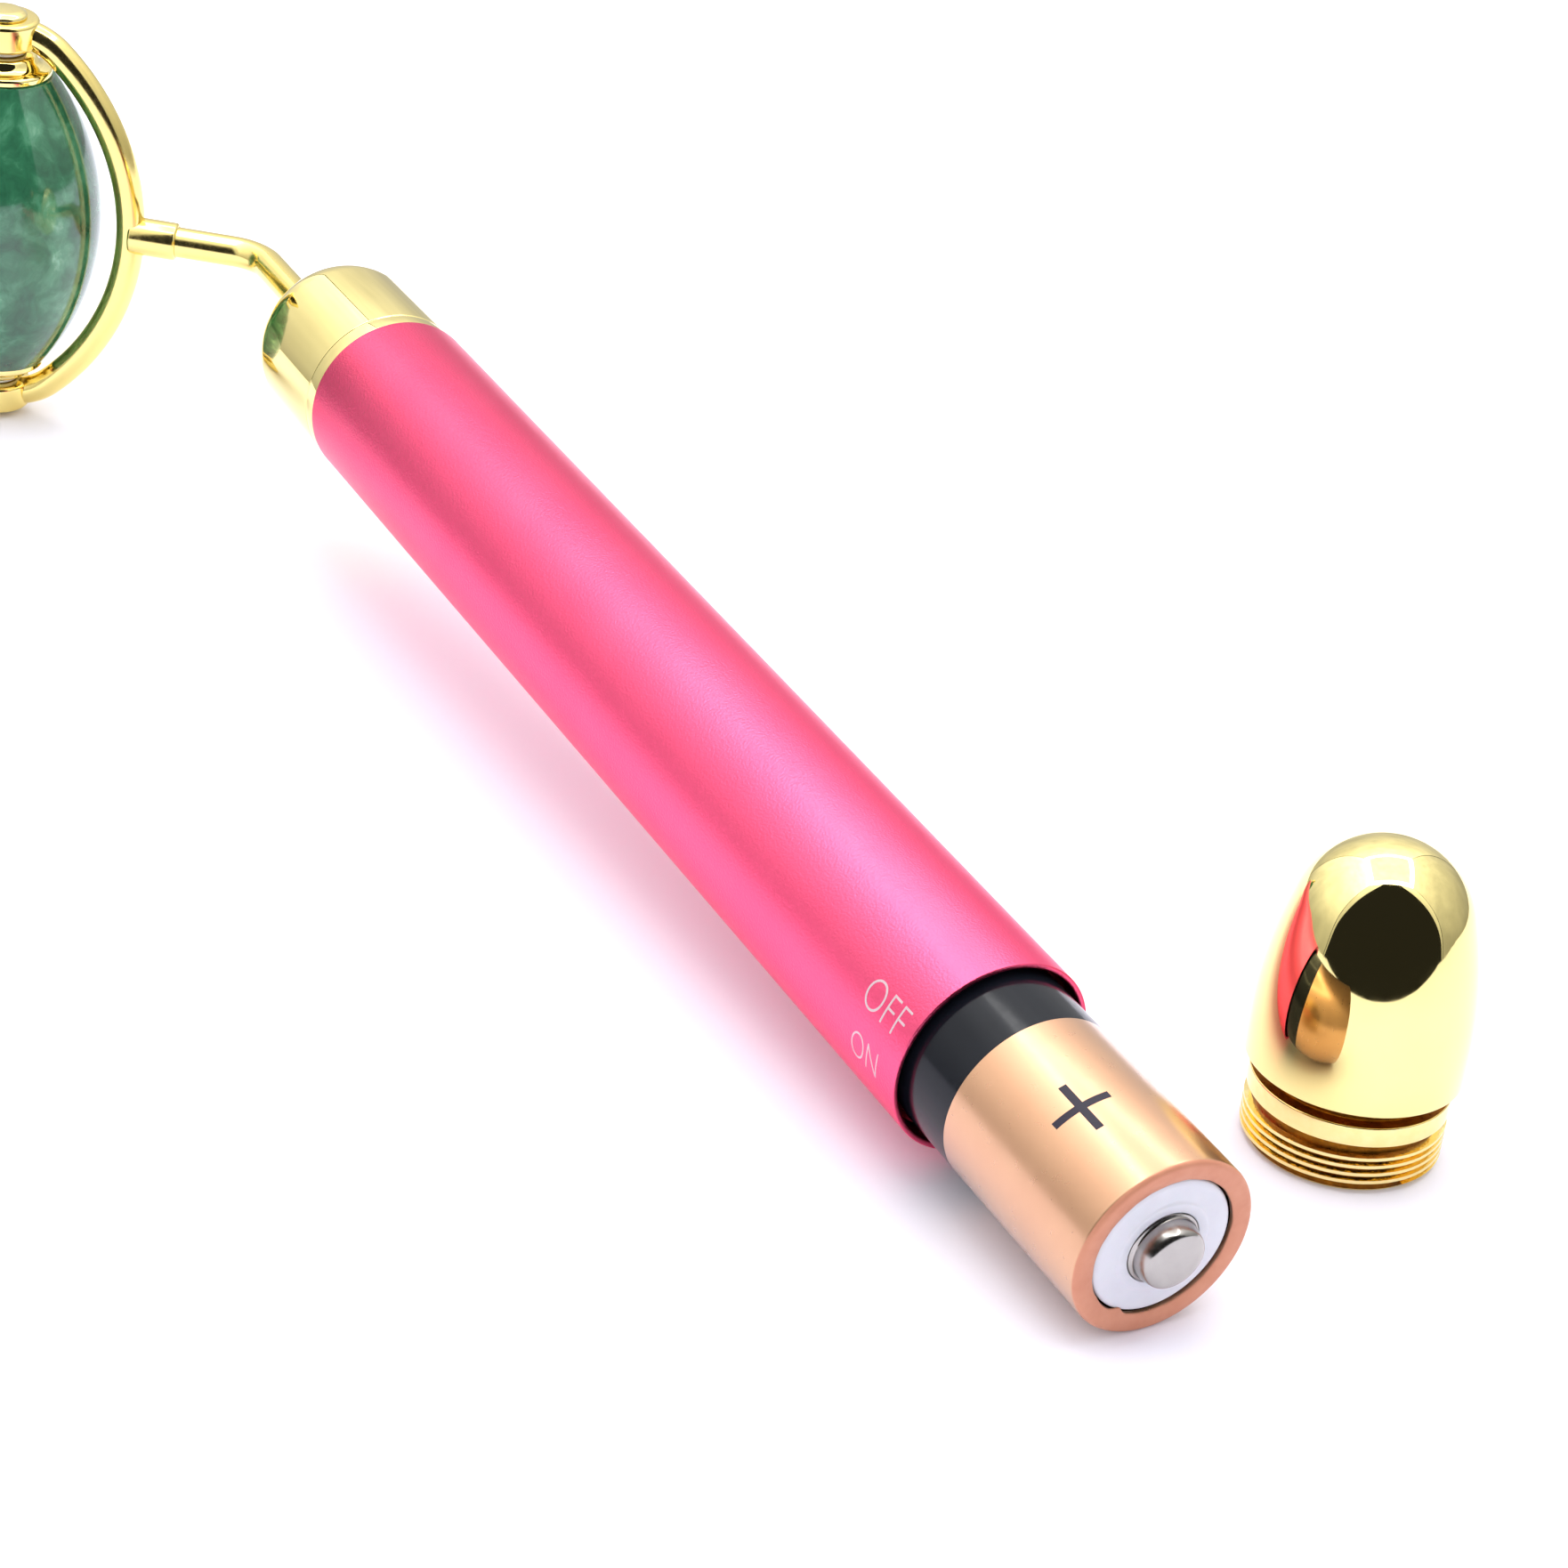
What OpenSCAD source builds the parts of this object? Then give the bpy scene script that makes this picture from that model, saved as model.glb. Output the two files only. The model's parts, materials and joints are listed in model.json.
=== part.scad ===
// Battery face roller: a vibrating handle with a stone roller head.
// The handle lies on a table with its battery half out of the mouth,
// and the twist cap stands on its threaded foot beside it.
// The origin is the centre of the tube's open mouth, +Z is up, and the
// battery comes out towards +X.

/* [Tube] */
// Length of the tube from its mouth to the collar
tube_len = 104.5; // [99:0.5:130]
// Wall of the tube
tube_wall = 0.8; // [0.7:0.05:1.4]
// Bevel round the inside of the mouth
mouth_bevel = 0.2; // [0.1:0.05:0.25]
// Depth of the plain counterbore in the mouth
mouth_plain_len = 1.9; // [1.7:0.1:2.5]
// Length of the internal thread
female_thread_len = 4.6; // [3.5:0.1:6]

/* [Battery] */
// Diameter of the battery
battery_d = 14.2; // [13.7:0.1:14.5]
// Length of the battery's sleeve
battery_len = 48.5; // [47:0.5:49.5]
// Running clearance round the battery
battery_clear = 0.1; // [0.06:0.02:0.2]
// How far the battery's rim stands out of the mouth
battery_out = 21.9; // [10:0.1:30]
// Thickness of the printed sleeve
sleeve_wall = 0.3; // [0.2:0.05:0.5]
// Diameter inside the rolled lip of the sleeve
seal_d = 11.1; // [10:0.1:12]
// Depth of the pale disc below the lip
seal_depth = 0.7; // [0.4:0.1:1]
// Diameter of the positive contact
nub_d = 5.1; // [5:0.1:5.6]
// Height of the positive contact over the rim
nub_h = 1.5; // [1.2:0.1:2.2]

/* [Twist cap] */
// Diameter of the dome
dome_d = 16.2; // [15.8:0.1:17]
// Height of the cap as it stands on its foot
cap_h = 24.9; // [22:0.1:27]
// Height of the dome's rim above the foot
dome_base = 6.95; // [6.6:0.05:7.5]
// Height of the straight part of the dome above its rim
dome_straight = 2.6; // [1:0.1:4]
// Radius of the arc that runs up the dome's side
dome_side_r = 35; // [32:0.5:40]
// Height of the undercut below the dome
undercut_h = 1.75; // [1.2:0.05:2]
// Height of the smooth shoulder below the undercut
shoulder_h = 1.6; // [1.2:0.1:1.8]
// Height of the relief between shoulder and thread
relief_h = 0.65; // [0.4:0.05:0.8]
// Pitch of the thread
thread_pitch = 0.65; // [0.6:0.05:0.7]
// Height of the thread's ridges
thread_deep = 0.3; // [0.2:0.05:0.35]
// Clearance between the two threads, measured on the radius
thread_clear = 0.1; // [0.05:0.01:0.15]
// Bore of the cap
cap_bore_d = 12.4; // [11.8:0.1:12.8]
// Depth of the cap's bore
cap_bore_deep = 13.6; // [13:0.1:15]
// Place of the cap along the table, measured from the mouth
cap_x = 7.1; // [5:0.1:20]
// Place of the cap across the table, measured from the mouth
cap_y = 27.4; // [22:0.1:40]

/* [Cap contact] */
// Running clearance of the insert in the cap's bore
insert_clear = 0.1; // [0.06:0.02:0.2]
// Height of the insert's lower face above the foot
insert_base = 2.4; // [2:0.1:3]
// Wall of the insert
insert_wall = 1.5; // [1.2:0.1:1.8]
// Thickness of the insert's lip and of its roof
insert_lip = 1.1; // [0.9:0.1:1.3]
// Diameter of the contact's tip
tip_d = 5; // [4.4:0.1:5.4]
// Height of the contact's tip above the foot
tip_base = 1; // [0.6:0.1:1.4]
// Thickness of the contact's flange
flange_t = 0.8; // [0.6:0.1:1]
// Travel of the contact
cap_contact_travel = 1.5; // [1:0.1:2]

/* [Head collar] */
// Diameter of the collar
collar_d = 15.8; // [15:0.1:15.9]
// Length of the collar outside the tube
collar_len = 15.9; // [13:0.1:20]
// Radius of the collar's rounded end
collar_round = 4.2; // [3:0.1:5]
// Length of the spigot inside the tube
spigot_len = 5; // [4:0.5:7]
// Diameter of the hollow in the spigot
spigot_hollow_d = 7; // [6:0.5:9]
// Press clearance of the spigot, measured on the radius
spigot_clear = 0.02; // [0.01:0.01:0.04]
// Width of the lip ring next to the tube
lip_w = 1.6; // [1:0.1:2.5]

/* [Neck] */
// Diameter of the neck rod
neck_d = 3; // [2.6:0.1:3.4]
// Distance from the tube's end to the neck's bend
neck_reach = 32.3; // [28:0.1:40]
// Angle of the bend
neck_angle = 56; // [30:1:65]
// Centre-line radius of the bend
neck_bend_r = 5; // [4.5:0.1:7]
// Distance from the bend to the middle of the bow
neck_side = 12.9; // [12:0.1:18]
// Depth of the rod's seat in the collar
neck_seat = 9; // [6:0.5:12]
// Outside diameter of the yoke's socket
socket_d = 3.7; // [3.6:0.1:4.4]
// Length of the yoke's socket
socket_len = 4.7; // [4:0.1:6]

/* [Yoke] */
// Diameter of the bow's wire
bow_d = 2.8; // [2.4:0.1:3]
// Centre-line radius of the bow
bow_r = 23.5; // [22:0.5:26]
// Centre-line radius of the bow's two corners
corner_r = 6; // [4:0.5:8]
// Distance from the middle of the bow to the axle
axle_reach = 13; // [12.6:0.1:15]
// Diameter of the eyes
eye_d = 6.8; // [6:0.1:8]

/* [Stone] */
// Diameter of the stone at its middle
stone_d = 19.6; // [18:0.2:20]
// Length of the stone
stone_len = 29.6; // [27:0.2:31]
// Radius of the stone's barrel curve
stone_curve_r = 25; // [24:0.5:30]
// Thickness of the ferrules
ferrule_t = 2; // [1.6:0.1:2.6]
// Diameter of the ferrules
ferrule_d = 9.4; // [8:0.1:10]
// Thickness of the washers
washer_t = 0.5; // [0.4:0.1:0.8]
// End play of each washer face
end_gap = 0.1; // [0.05:0.01:0.15]

/* [Axle] */
// Diameter of the axle
axle_d = 2; // [1.8:0.1:2.4]
// Running clearance on the axle, measured on the radius
axle_clear = 0.05; // [0.03:0.01:0.08]
// Diameter of the rivet heads
rivet_d = 4.4; // [4:0.1:5]
// Height of the rivet heads
rivet_h = 0.7; // [0.5:0.1:1]
// Outside diameter of the bushes
bush_d = 4.2; // [3.8:0.1:4.8]
// Length of the bushes
bush_len = 4; // [3:0.5:6]

/* [Motor] */
// Diameter of the motor
motor_d = 12; // [10:0.1:12.4]
// Length of the motor can
motor_len = 15; // [12:0.5:16]
// Room for the leads between the contact base and the motor
lead_run = 4.5; // [3.5:0.5:5]
// Thickness of the motor's plastic end
motor_cap_t = 1.6; // [1.2:0.1:2]
// Diameter of the motor's shaft
shaft_d = 1.5; // [1.2:0.1:2]
// Length of the weight
weight_len = 6; // [4:0.5:7]
// Radius of the weight
weight_r = 4.8; // [4:0.1:5]
// Running gap between the motor and the weight
weight_gap = 1.2; // [0.8:0.1:2]
// Diameter of the leads over their insulation
lead_d = 1; // [0.8:0.1:1.2]
// Height of the solder tabs
tab_h = 2; // [1.5:0.1:3]
// Clearance of the pieces that are pushed into place
seat_clear = 0.02; // [0.01:0.01:0.05]

/* [Negative contact] */
// Thickness of the contact base
base_t = 2.5; // [2:0.1:4]
// Diameter of the moving contact
contact_d = 7; // [6:0.1:8]
// Thickness of the moving contact
contact_t = 0.8; // [0.6:0.1:1]
// Relaxed length of the negative spring
neg_spring_len = 5; // [4.5:0.1:8]
// Gap left when the battery is fully home
home_gap = 0.1; // [0.05:0.05:0.3]
// Wire of both springs
spring_wire = 0.5; // [0.4:0.05:0.6]
// Turns of both springs
spring_turns = 4.5; // [3.5:0.5:5]

/* [Hidden] */
fine = 96;
// a straight run is this much thinner than the bend that it enters
run_step = 0.02;
run_into = 0.3;
sleeve_round = 0.3;
bore_d = battery_d + 2 * battery_clear;
tube_d = bore_d + 2 * tube_wall;
tube_r = tube_d / 2;
crest_r = tube_r - tube_wall / 2 - 0.05 - thread_clear;
thread_major_r = crest_r + thread_clear;
root_r = crest_r - thread_deep;
bore_r = bore_d / 2;
// heights on the cap, from its foot
thread_top = dome_base - undercut_h - shoulder_h - relief_h;
shoulder_base = thread_top + relief_h;
shoulder_top = shoulder_base + shoulder_h;
ridges = floor((thread_top - 0.3) / thread_pitch);
dome_r = dome_d / 2;
straight_top = dome_base + dome_straight;
arch_h = cap_h - straight_top;
dome_tip_r = (2 * dome_side_r * dome_r - dome_r * dome_r - arch_h * arch_h) / (2 * (dome_side_r - arch_h));
dome_tip_z = cap_h - dome_tip_r;
tip_lean = atan2(dome_tip_z - straight_top, dome_side_r - dome_r);
arc_join = dome_tip_z + dome_tip_r * sin(tip_lean);
insert_r = cap_bore_d / 2 - insert_clear;
insert_in_r = insert_r - insert_wall;
flange_r = insert_in_r - 0.2;
lip_hole_r = tip_d / 2 + 0.3;
flange_base = insert_base + insert_lip + 0.05;
insert_top = cap_bore_deep - 0.3;
insert_roof = insert_top - insert_lip;
// distances along the tube, from its mouth towards the head
spigot_end = tube_len - spigot_len;
home_shift = battery_out + dome_base + 0.25;
contact_face = battery_len - battery_out + home_shift + home_gap;
base_face = contact_face + contact_t + neg_spring_len;
base_back = base_face + base_t;
motor_cap_back = base_back + lead_run;
motor_back = motor_cap_back + motor_cap_t;
motor_face = motor_back + motor_len;
collar_end = tube_len + collar_len;
bend_x = tube_len + neck_reach;
bend_tangent = neck_bend_r * tan(neck_angle / 2);
// the bow, measured along and across the stone's axis
stone_half = stone_len / 2;
ferrule_face = stone_half + seat_clear + ferrule_t;
washer_in = ferrule_face + end_gap;
eye_in = washer_in + washer_t + end_gap;
bow_half = eye_in + bow_d / 2;
eye_out = bow_half + bow_d / 2;
bow_turn = asin((bow_half - corner_r) / (bow_r - corner_r));
bow_lap = run_into / bow_r * 180 / PI;
corner_a = (bow_r - corner_r) * sin(bow_turn);
corner_b = bow_r - (bow_r - corner_r) * cos(bow_turn);
// the handle rests on the lower rivet head, and on the battery's rim or the
// tube's mouth, whichever meets the table first
yoke_drop = eye_out + rivet_h;
rim_x = battery_out - sleeve_round;
rest_x = bend_x + (neck_side + axle_reach) * cos(neck_angle) - rivet_d / 2;
lie_tilt = min(atan2(yoke_drop - tube_r, rest_x), atan2(yoke_drop - battery_d / 2, rest_x + rim_x));
floor_z = rest_x * sin(lie_tilt) - yoke_drop * cos(lie_tilt);

// tilts the handle the way it lies on the table
module lie() {
    rotate([0, lie_tilt, 0]) children();
}

// stands a turned profile on the tube's axis: its height runs back from x
module on_tube(x) {
    lie() translate([-x, 0, 0]) rotate([0, -90, 0]) children();
}

// puts a piece at the middle of the bow: +X to the stone, +Z along its axis
module at_bow() {
    lie() translate([-bend_x, 0, 0]) rotate([0, 0, 180 + neck_angle])
        translate([neck_side, 0, 0]) children();
}

// puts a piece on the stone's axis
module at_stone() {
    at_bow() translate([axle_reach, 0, 0]) children();
}

// both ends of the stone's axis
module both_ends() {
    children();
    mirror([0, 0, 1]) children();
}

// stands a piece on the table where the cap is
module at_cap(z = 0) {
    translate([cap_x, cap_y, floor_z + z]) children();
}

module ring(outer_r, inner_r, h) {
    difference() {
        cylinder(r = outer_r, h = h, $fn = fine);
        translate([0, 0, -1]) cylinder(r = inner_r, h = h + 2, $fn = fine);
    }
}

// points of a spring's tube, one ring of sides after another
function coil_r(t, r0, r1) = r0 + (r1 - r0) * t;
function coil_ring(t, r0, r1, rise, turns, wire, sides) =
    let (a = 360 * turns * t, r = coil_r(t, r0, r1), z = wire / 2 + (rise - wire) * t)
    [for (i = [0:sides - 1])
        let (b = 360 * i / sides, d = r + wire / 2 * cos(b))
        [d * cos(a), d * sin(a), z + wire / 2 * sin(b)]];

module coil_spring(r0, r1, rise, turns, wire) {
    sides = 6;
    steps = round(turns * 20);
    rings = [for (k = [0:steps]) coil_ring(k / steps, r0, r1, rise, turns, wire, sides)];
    points = [for (one = rings) for (p = one) p];
    walls = [for (k = [0:steps - 1]) for (i = [0:sides - 1])
        let (j = (i + 1) % sides, a = k * sides, b = (k + 1) * sides)
        each [[a + i, a + j, b + j], [a + i, b + j, b + i]]];
    first = [for (i = [1:sides - 2]) [0, i + 1, i]];
    last = [for (i = [1:sides - 2]) [steps * sides, steps * sides + i, steps * sides + i + 1]];
    polyhedron(points = points, faces = concat(walls, first, last), convexity = 8);
}

module handle_tube() {
    plain = tube_len - mouth_plain_len;
    teeth = floor(female_thread_len / thread_pitch);
    color("#fa5f8c") on_tube(tube_len) mirror([0, 0, 1]) rotate_extrude($fn = fine) polygon(concat(
        [[bore_r, 0], [tube_r, 0], [tube_r, tube_len], [thread_major_r + mouth_bevel, tube_len],
            [thread_major_r, tube_len - mouth_bevel], [thread_major_r, plain]],
        [for (k = [0:teeth - 1]) each [[bore_r, plain - (k + 0.5) * thread_pitch],
            [thread_major_r - 0.02, plain - (k + 1) * thread_pitch]]],
        [[bore_r, plain - (teeth + 0.5) * thread_pitch]]));
}

module head_collar() {
    r = collar_d / 2;
    spigot_r = bore_r - spigot_clear;
    round_x = collar_len - collar_round;
    color("#e8bf58") on_tube(tube_len) difference() {
        rotate_extrude($fn = fine) union() {
            translate([0, -spigot_len]) square([spigot_r, spigot_len + 1]);
            difference() {
                square([r, round_x]);
                translate([r, lip_w]) rotate(45) square(0.36, center = true);
            }
            square([r - collar_round, collar_len]);
            intersection() {
                translate([r - collar_round, round_x]) circle(r = collar_round, $fn = fine);
                translate([0, round_x - 0.5]) square([r, collar_round + 0.5]);
            }
        }
        translate([0, 0, collar_len - neck_seat]) cylinder(d = neck_d + 2 * seat_clear, h = neck_seat + 1, $fn = fine);
        translate([0, 0, -spigot_len - 1]) cylinder(d = spigot_hollow_d, h = spigot_len + 2, $fn = fine);
    }
}

module neck_rod() {
    seat_end = collar_end - neck_seat + seat_clear;
    run = bend_x - bend_tangent - seat_end + run_into;
    out = neck_side - bend_tangent - 1.6 + run_into;
    color("#e8bf58") union() {
        on_tube(seat_end) cylinder(d = neck_d - run_step, h = run, $fn = fine);
        lie() translate([-bend_x + bend_tangent, -neck_bend_r, 0]) rotate([0, 0, 90])
            rotate_extrude(angle = neck_angle, $fn = fine) translate([neck_bend_r, 0]) circle(d = neck_d, $fn = fine);
        lie() translate([-bend_x, 0, 0]) rotate([0, 0, 180 + neck_angle]) translate([bend_tangent - run_into, 0, 0])
            rotate([0, 90, 0]) cylinder(d = neck_d - run_step, h = out, $fn = fine);
    }
}

module bow_arc(centre, turn, from, r, d) {
    rotate([90, 0, 0]) translate([centre[0], centre[1], 0]) rotate([0, 0, from])
        rotate_extrude(angle = turn, $fn = fine) translate([r, 0]) circle(d = d, $fn = fine);
}

module roller_yoke() {
    color("#e8bf58") at_bow() difference() {
        union() {
            bow_arc([bow_r, 0], 2 * bow_turn + 2 * bow_lap, 180 - bow_turn - bow_lap, bow_r, bow_d - run_step);
            both_ends() {
                bow_arc([corner_b, corner_a], 90 - bow_turn, 90, corner_r, bow_d);
                translate([corner_b - run_into, 0, bow_half]) rotate([0, 90, 0])
                    cylinder(d = bow_d - run_step, h = axle_reach - corner_b + run_into, $fn = fine);
                translate([axle_reach, 0, eye_in]) cylinder(d = eye_d, h = bow_d, $fn = fine);
            }
            translate([-socket_len, 0, 0]) rotate([0, 90, 0]) cylinder(d = socket_d, h = socket_len, $fn = fine);
        }
        translate([-socket_len - 1, 0, 0]) rotate([0, 90, 0])
            cylinder(d = neck_d + 2 * seat_clear, h = socket_len - 0.5, $fn = fine);
        translate([axle_reach, 0, -eye_out - 1]) cylinder(d = axle_d + 2 * seat_clear, h = 2 * eye_out + 2, $fn = fine);
    }
}

module roller_axle() {
    color("#c9ccd0") at_stone() translate([0, 0, -eye_out]) cylinder(d = axle_d, h = 2 * eye_out, $fn = fine);
}

module axle_rivets() {
    r = rivet_d / 2;
    color("#f0cb68") at_stone() both_ends() translate([0, 0, eye_out]) rotate_extrude($fn = fine)
        polygon([[0, 0], [r, 0], [r, rivet_h * 0.4], [r - rivet_h * 0.6, rivet_h], [0, rivet_h]]);
}

module axle_washers() {
    color("#f2f0ea") at_stone() both_ends() translate([0, 0, washer_in])
        ring(rivet_d / 2, axle_d / 2 + axle_clear, washer_t);
}

module roller_stone() {
    r = stone_d / 2;
    color("#2f6b4a") at_stone() difference() {
        rotate_extrude($fn = fine) intersection() {
            translate([r - stone_curve_r, 0]) circle(r = stone_curve_r, $fn = 2 * fine);
            translate([0, -stone_half]) square([r, stone_len]);
        }
        translate([0, 0, -stone_half - 1]) cylinder(d = axle_d + 1, h = stone_len + 2, $fn = fine);
        both_ends() translate([0, 0, stone_half - bush_len]) cylinder(d = bush_d + 2 * seat_clear, h = bush_len + 1, $fn = fine);
    }
}

module stone_ferrules() {
    r = ferrule_d / 2;
    hole = axle_d / 2 + axle_clear;
    color("#e8bf58") at_stone() both_ends() translate([0, 0, stone_half + seat_clear]) rotate_extrude($fn = fine)
        polygon([[hole, 0], [r, 0], [r, ferrule_t * 0.35], [r - 0.5, ferrule_t * 0.5],
            [r - 1.2, ferrule_t * 0.55], [r - 1.6, ferrule_t], [hole, ferrule_t]]);
}

module stone_bushes() {
    color("#f2f0ea") at_stone() both_ends() translate([0, 0, stone_half - bush_len])
        ring(bush_d / 2, axle_d / 2 + axle_clear, bush_len);
}

module motor_cradle() {
    length = spigot_end - base_back;
    pocket = motor_d / 2 + seat_clear;
    color("#f0efe9") on_tube(base_back) difference() {
        cylinder(r = bore_r - seat_clear, h = length, $fn = fine);
        translate([0, 0, -1]) cylinder(r = pocket - 0.9, h = length + 2, $fn = fine);
        translate([0, 0, motor_cap_back - base_back]) cylinder(r = pocket, h = length, $fn = fine);
    }
}

module motor_can() {
    color("#b9bdc2") on_tube(motor_back) difference() {
        cylinder(d = motor_d, h = motor_len, $fn = fine);
        translate([0, 0, -1]) cylinder(r = shaft_d / 2 + axle_clear, h = motor_len + 2, $fn = fine);
    }
}

module motor_end_cap() {
    color("#25272b") on_tube(motor_cap_back) cylinder(d = motor_d, h = motor_cap_t, $fn = fine);
}

module motor_terminals() {
    color("#d9b45a") on_tube(motor_cap_back - tab_h) for (side = [-1, 1])
        translate([side * motor_d * 0.3 - 0.2, -0.9, 0]) cube([0.4, 1.8, tab_h]);
}

module lead_wires() {
    color("#c8352e") on_tube(base_back) for (side = [-1, 1])
        translate([side * (motor_d * 0.3 + 0.2 + lead_d / 2 + 0.1), 0, 0])
            cylinder(d = lead_d, h = lead_run, $fn = 24);
}

module contact_base() {
    color("#f0efe9") on_tube(base_face) cylinder(r = bore_r - seat_clear, h = base_t, $fn = fine);
}

module negative_spring() {
    color("#c9ccd0") on_tube(contact_face + contact_t)
        coil_spring(contact_d / 2 - 0.6, bore_r - 1.6, neg_spring_len, spring_turns, spring_wire);
}

module negative_contact() {
    color("#d9b45a") on_tube(contact_face) cylinder(d = contact_d, h = contact_t, $fn = fine);
}

module motor_shaft() {
    reach = weight_gap + weight_len + 0.8;
    color("#c9ccd0") on_tube(motor_back + 0.5) cylinder(d = shaft_d, h = motor_len - 0.5 + reach, $fn = fine);
}

module eccentric_weight() {
    color("#8e9298") on_tube(motor_face + weight_gap) difference() {
        union() {
            intersection() {
                cylinder(r = weight_r, h = weight_len, $fn = fine);
                translate([-weight_r - 1, 0, -1]) cube([2 * weight_r + 2, weight_r + 1, weight_len + 2]);
            }
            cylinder(r = shaft_d / 2 + 1, h = weight_len, $fn = fine);
        }
        translate([0, 0, -1]) cylinder(r = shaft_d / 2 + seat_clear, h = weight_len + 2, $fn = fine);
    }
}

module battery_jacket() {
    r = battery_d / 2;
    color("#c98a5a") on_tube(-battery_out) rotate_extrude($fn = fine) polygon([[seal_d / 2, 0.25],
        [seal_d / 2 + 0.25, 0], [r - sleeve_round, 0], [r, sleeve_round], [r, battery_len - sleeve_round],
        [r - sleeve_round, battery_len],
        [r - 0.7, battery_len], [r - 0.7, battery_len - 0.3], [r - sleeve_wall, battery_len - 0.5],
        [r - sleeve_wall, 0.6], [seal_d / 2, 0.6]]);
}

module battery_can() {
    r = battery_d / 2 - sleeve_wall - seat_clear;
    color("#b9bdc2") on_tube(-battery_out) rotate_extrude($fn = fine) polygon([[0, seal_depth + 0.6],
        [r, seal_depth + 0.6], [r, battery_len - 0.7], [r - 0.6, battery_len - 0.4],
        [r - 1.2, battery_len - 0.1], [r - 2.2, battery_len], [0, battery_len]]);
}

module battery_seal() {
    color("#e6e7ec") on_tube(-battery_out) translate([0, 0, seal_depth])
        ring(seal_d / 2 - seat_clear, nub_d / 2 + 0.35, 0.6);
}

module battery_nub() {
    r = nub_d / 2;
    color("#bdb9b2") on_tube(-battery_out) rotate_extrude($fn = fine) polygon([[0, -nub_h], [r - 0.6, -nub_h],
        [r - 0.15, -nub_h + 0.35], [r, -nub_h + 0.8], [r, seal_depth - 0.1], [r + 0.3, seal_depth + 0.1],
        [r + 0.3, seal_depth + 0.6], [0, seal_depth + 0.6]]);
}

// half of the cap's section, outside only
module cap_outline() {
    polygon(concat([[0, 0], [root_r, 0]],
        [for (k = [0:ridges - 1]) each [[root_r, 0.25 + k * thread_pitch],
            [crest_r, 0.25 + (k + 0.5) * thread_pitch]]],
        [[root_r, 0.25 + ridges * thread_pitch], [root_r, shoulder_base], [crest_r, shoulder_base + 0.15],
            [crest_r, shoulder_top - 0.15], [crest_r - 0.15, shoulder_top], [root_r - 0.1, shoulder_top],
            [root_r - 0.1, dome_base], [dome_r - 0.15, dome_base], [dome_r, dome_base + 0.15],
            [dome_r, straight_top], [0, straight_top]]));
    intersection() {
        translate([dome_r - dome_side_r, straight_top]) circle(r = dome_side_r, $fn = 4 * fine);
        translate([0, straight_top - 0.5]) square([dome_r, arc_join - straight_top + 0.5]);
    }
    intersection() {
        translate([0, dome_tip_z]) circle(r = dome_tip_r, $fn = 2 * fine);
        translate([0, arc_join - 0.01]) square([dome_r, cap_h]);
    }
}

module cap_shell() {
    color("#e8bf58") at_cap() rotate_extrude($fn = fine) difference() {
        cap_outline();
        translate([-1, -1]) square([cap_bore_d / 2 + 1, cap_bore_deep + 1]);
    }
}

module cap_insert() {
    color("#f0efe9") at_cap(insert_base) difference() {
        cylinder(r = insert_r, h = insert_top - insert_base, $fn = fine);
        translate([0, 0, -1]) cylinder(r = lip_hole_r, h = insert_lip + 2, $fn = fine);
        translate([0, 0, insert_lip]) cylinder(r = insert_in_r, h = insert_roof - insert_base - insert_lip, $fn = fine);
    }
}

module cap_spring() {
    low = flange_base + flange_t;
    color("#c9ccd0") at_cap(low)
        coil_spring(flange_r - 0.5, flange_r - 0.5, insert_roof - low, spring_turns, spring_wire);
}

module cap_contact() {
    color("#d9b45a") at_cap(tip_base) rotate_extrude($fn = fine) polygon([[0, 0], [tip_d / 2 - 0.5, 0],
        [tip_d / 2, 0.5], [tip_d / 2, flange_base - tip_base], [flange_r, flange_base - tip_base],
        [flange_r, flange_base - tip_base + flange_t], [0, flange_base - tip_base + flange_t]]);
}

handle_tube();
head_collar();
neck_rod();
roller_yoke();
roller_axle();
axle_rivets();
axle_washers();
motor_cradle();
motor_can();
motor_end_cap();
motor_terminals();
lead_wires();
contact_base();
negative_spring();
negative_contact();
motor_shaft();
eccentric_weight();
battery_jacket();
battery_can();
battery_seal();
battery_nub();
roller_stone();
stone_ferrules();
stone_bushes();
cap_insert();
cap_spring();
cap_shell();
cap_contact();
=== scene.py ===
import json
import math

import bmesh
import bpy
from mathutils import Matrix, Vector, noise

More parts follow.
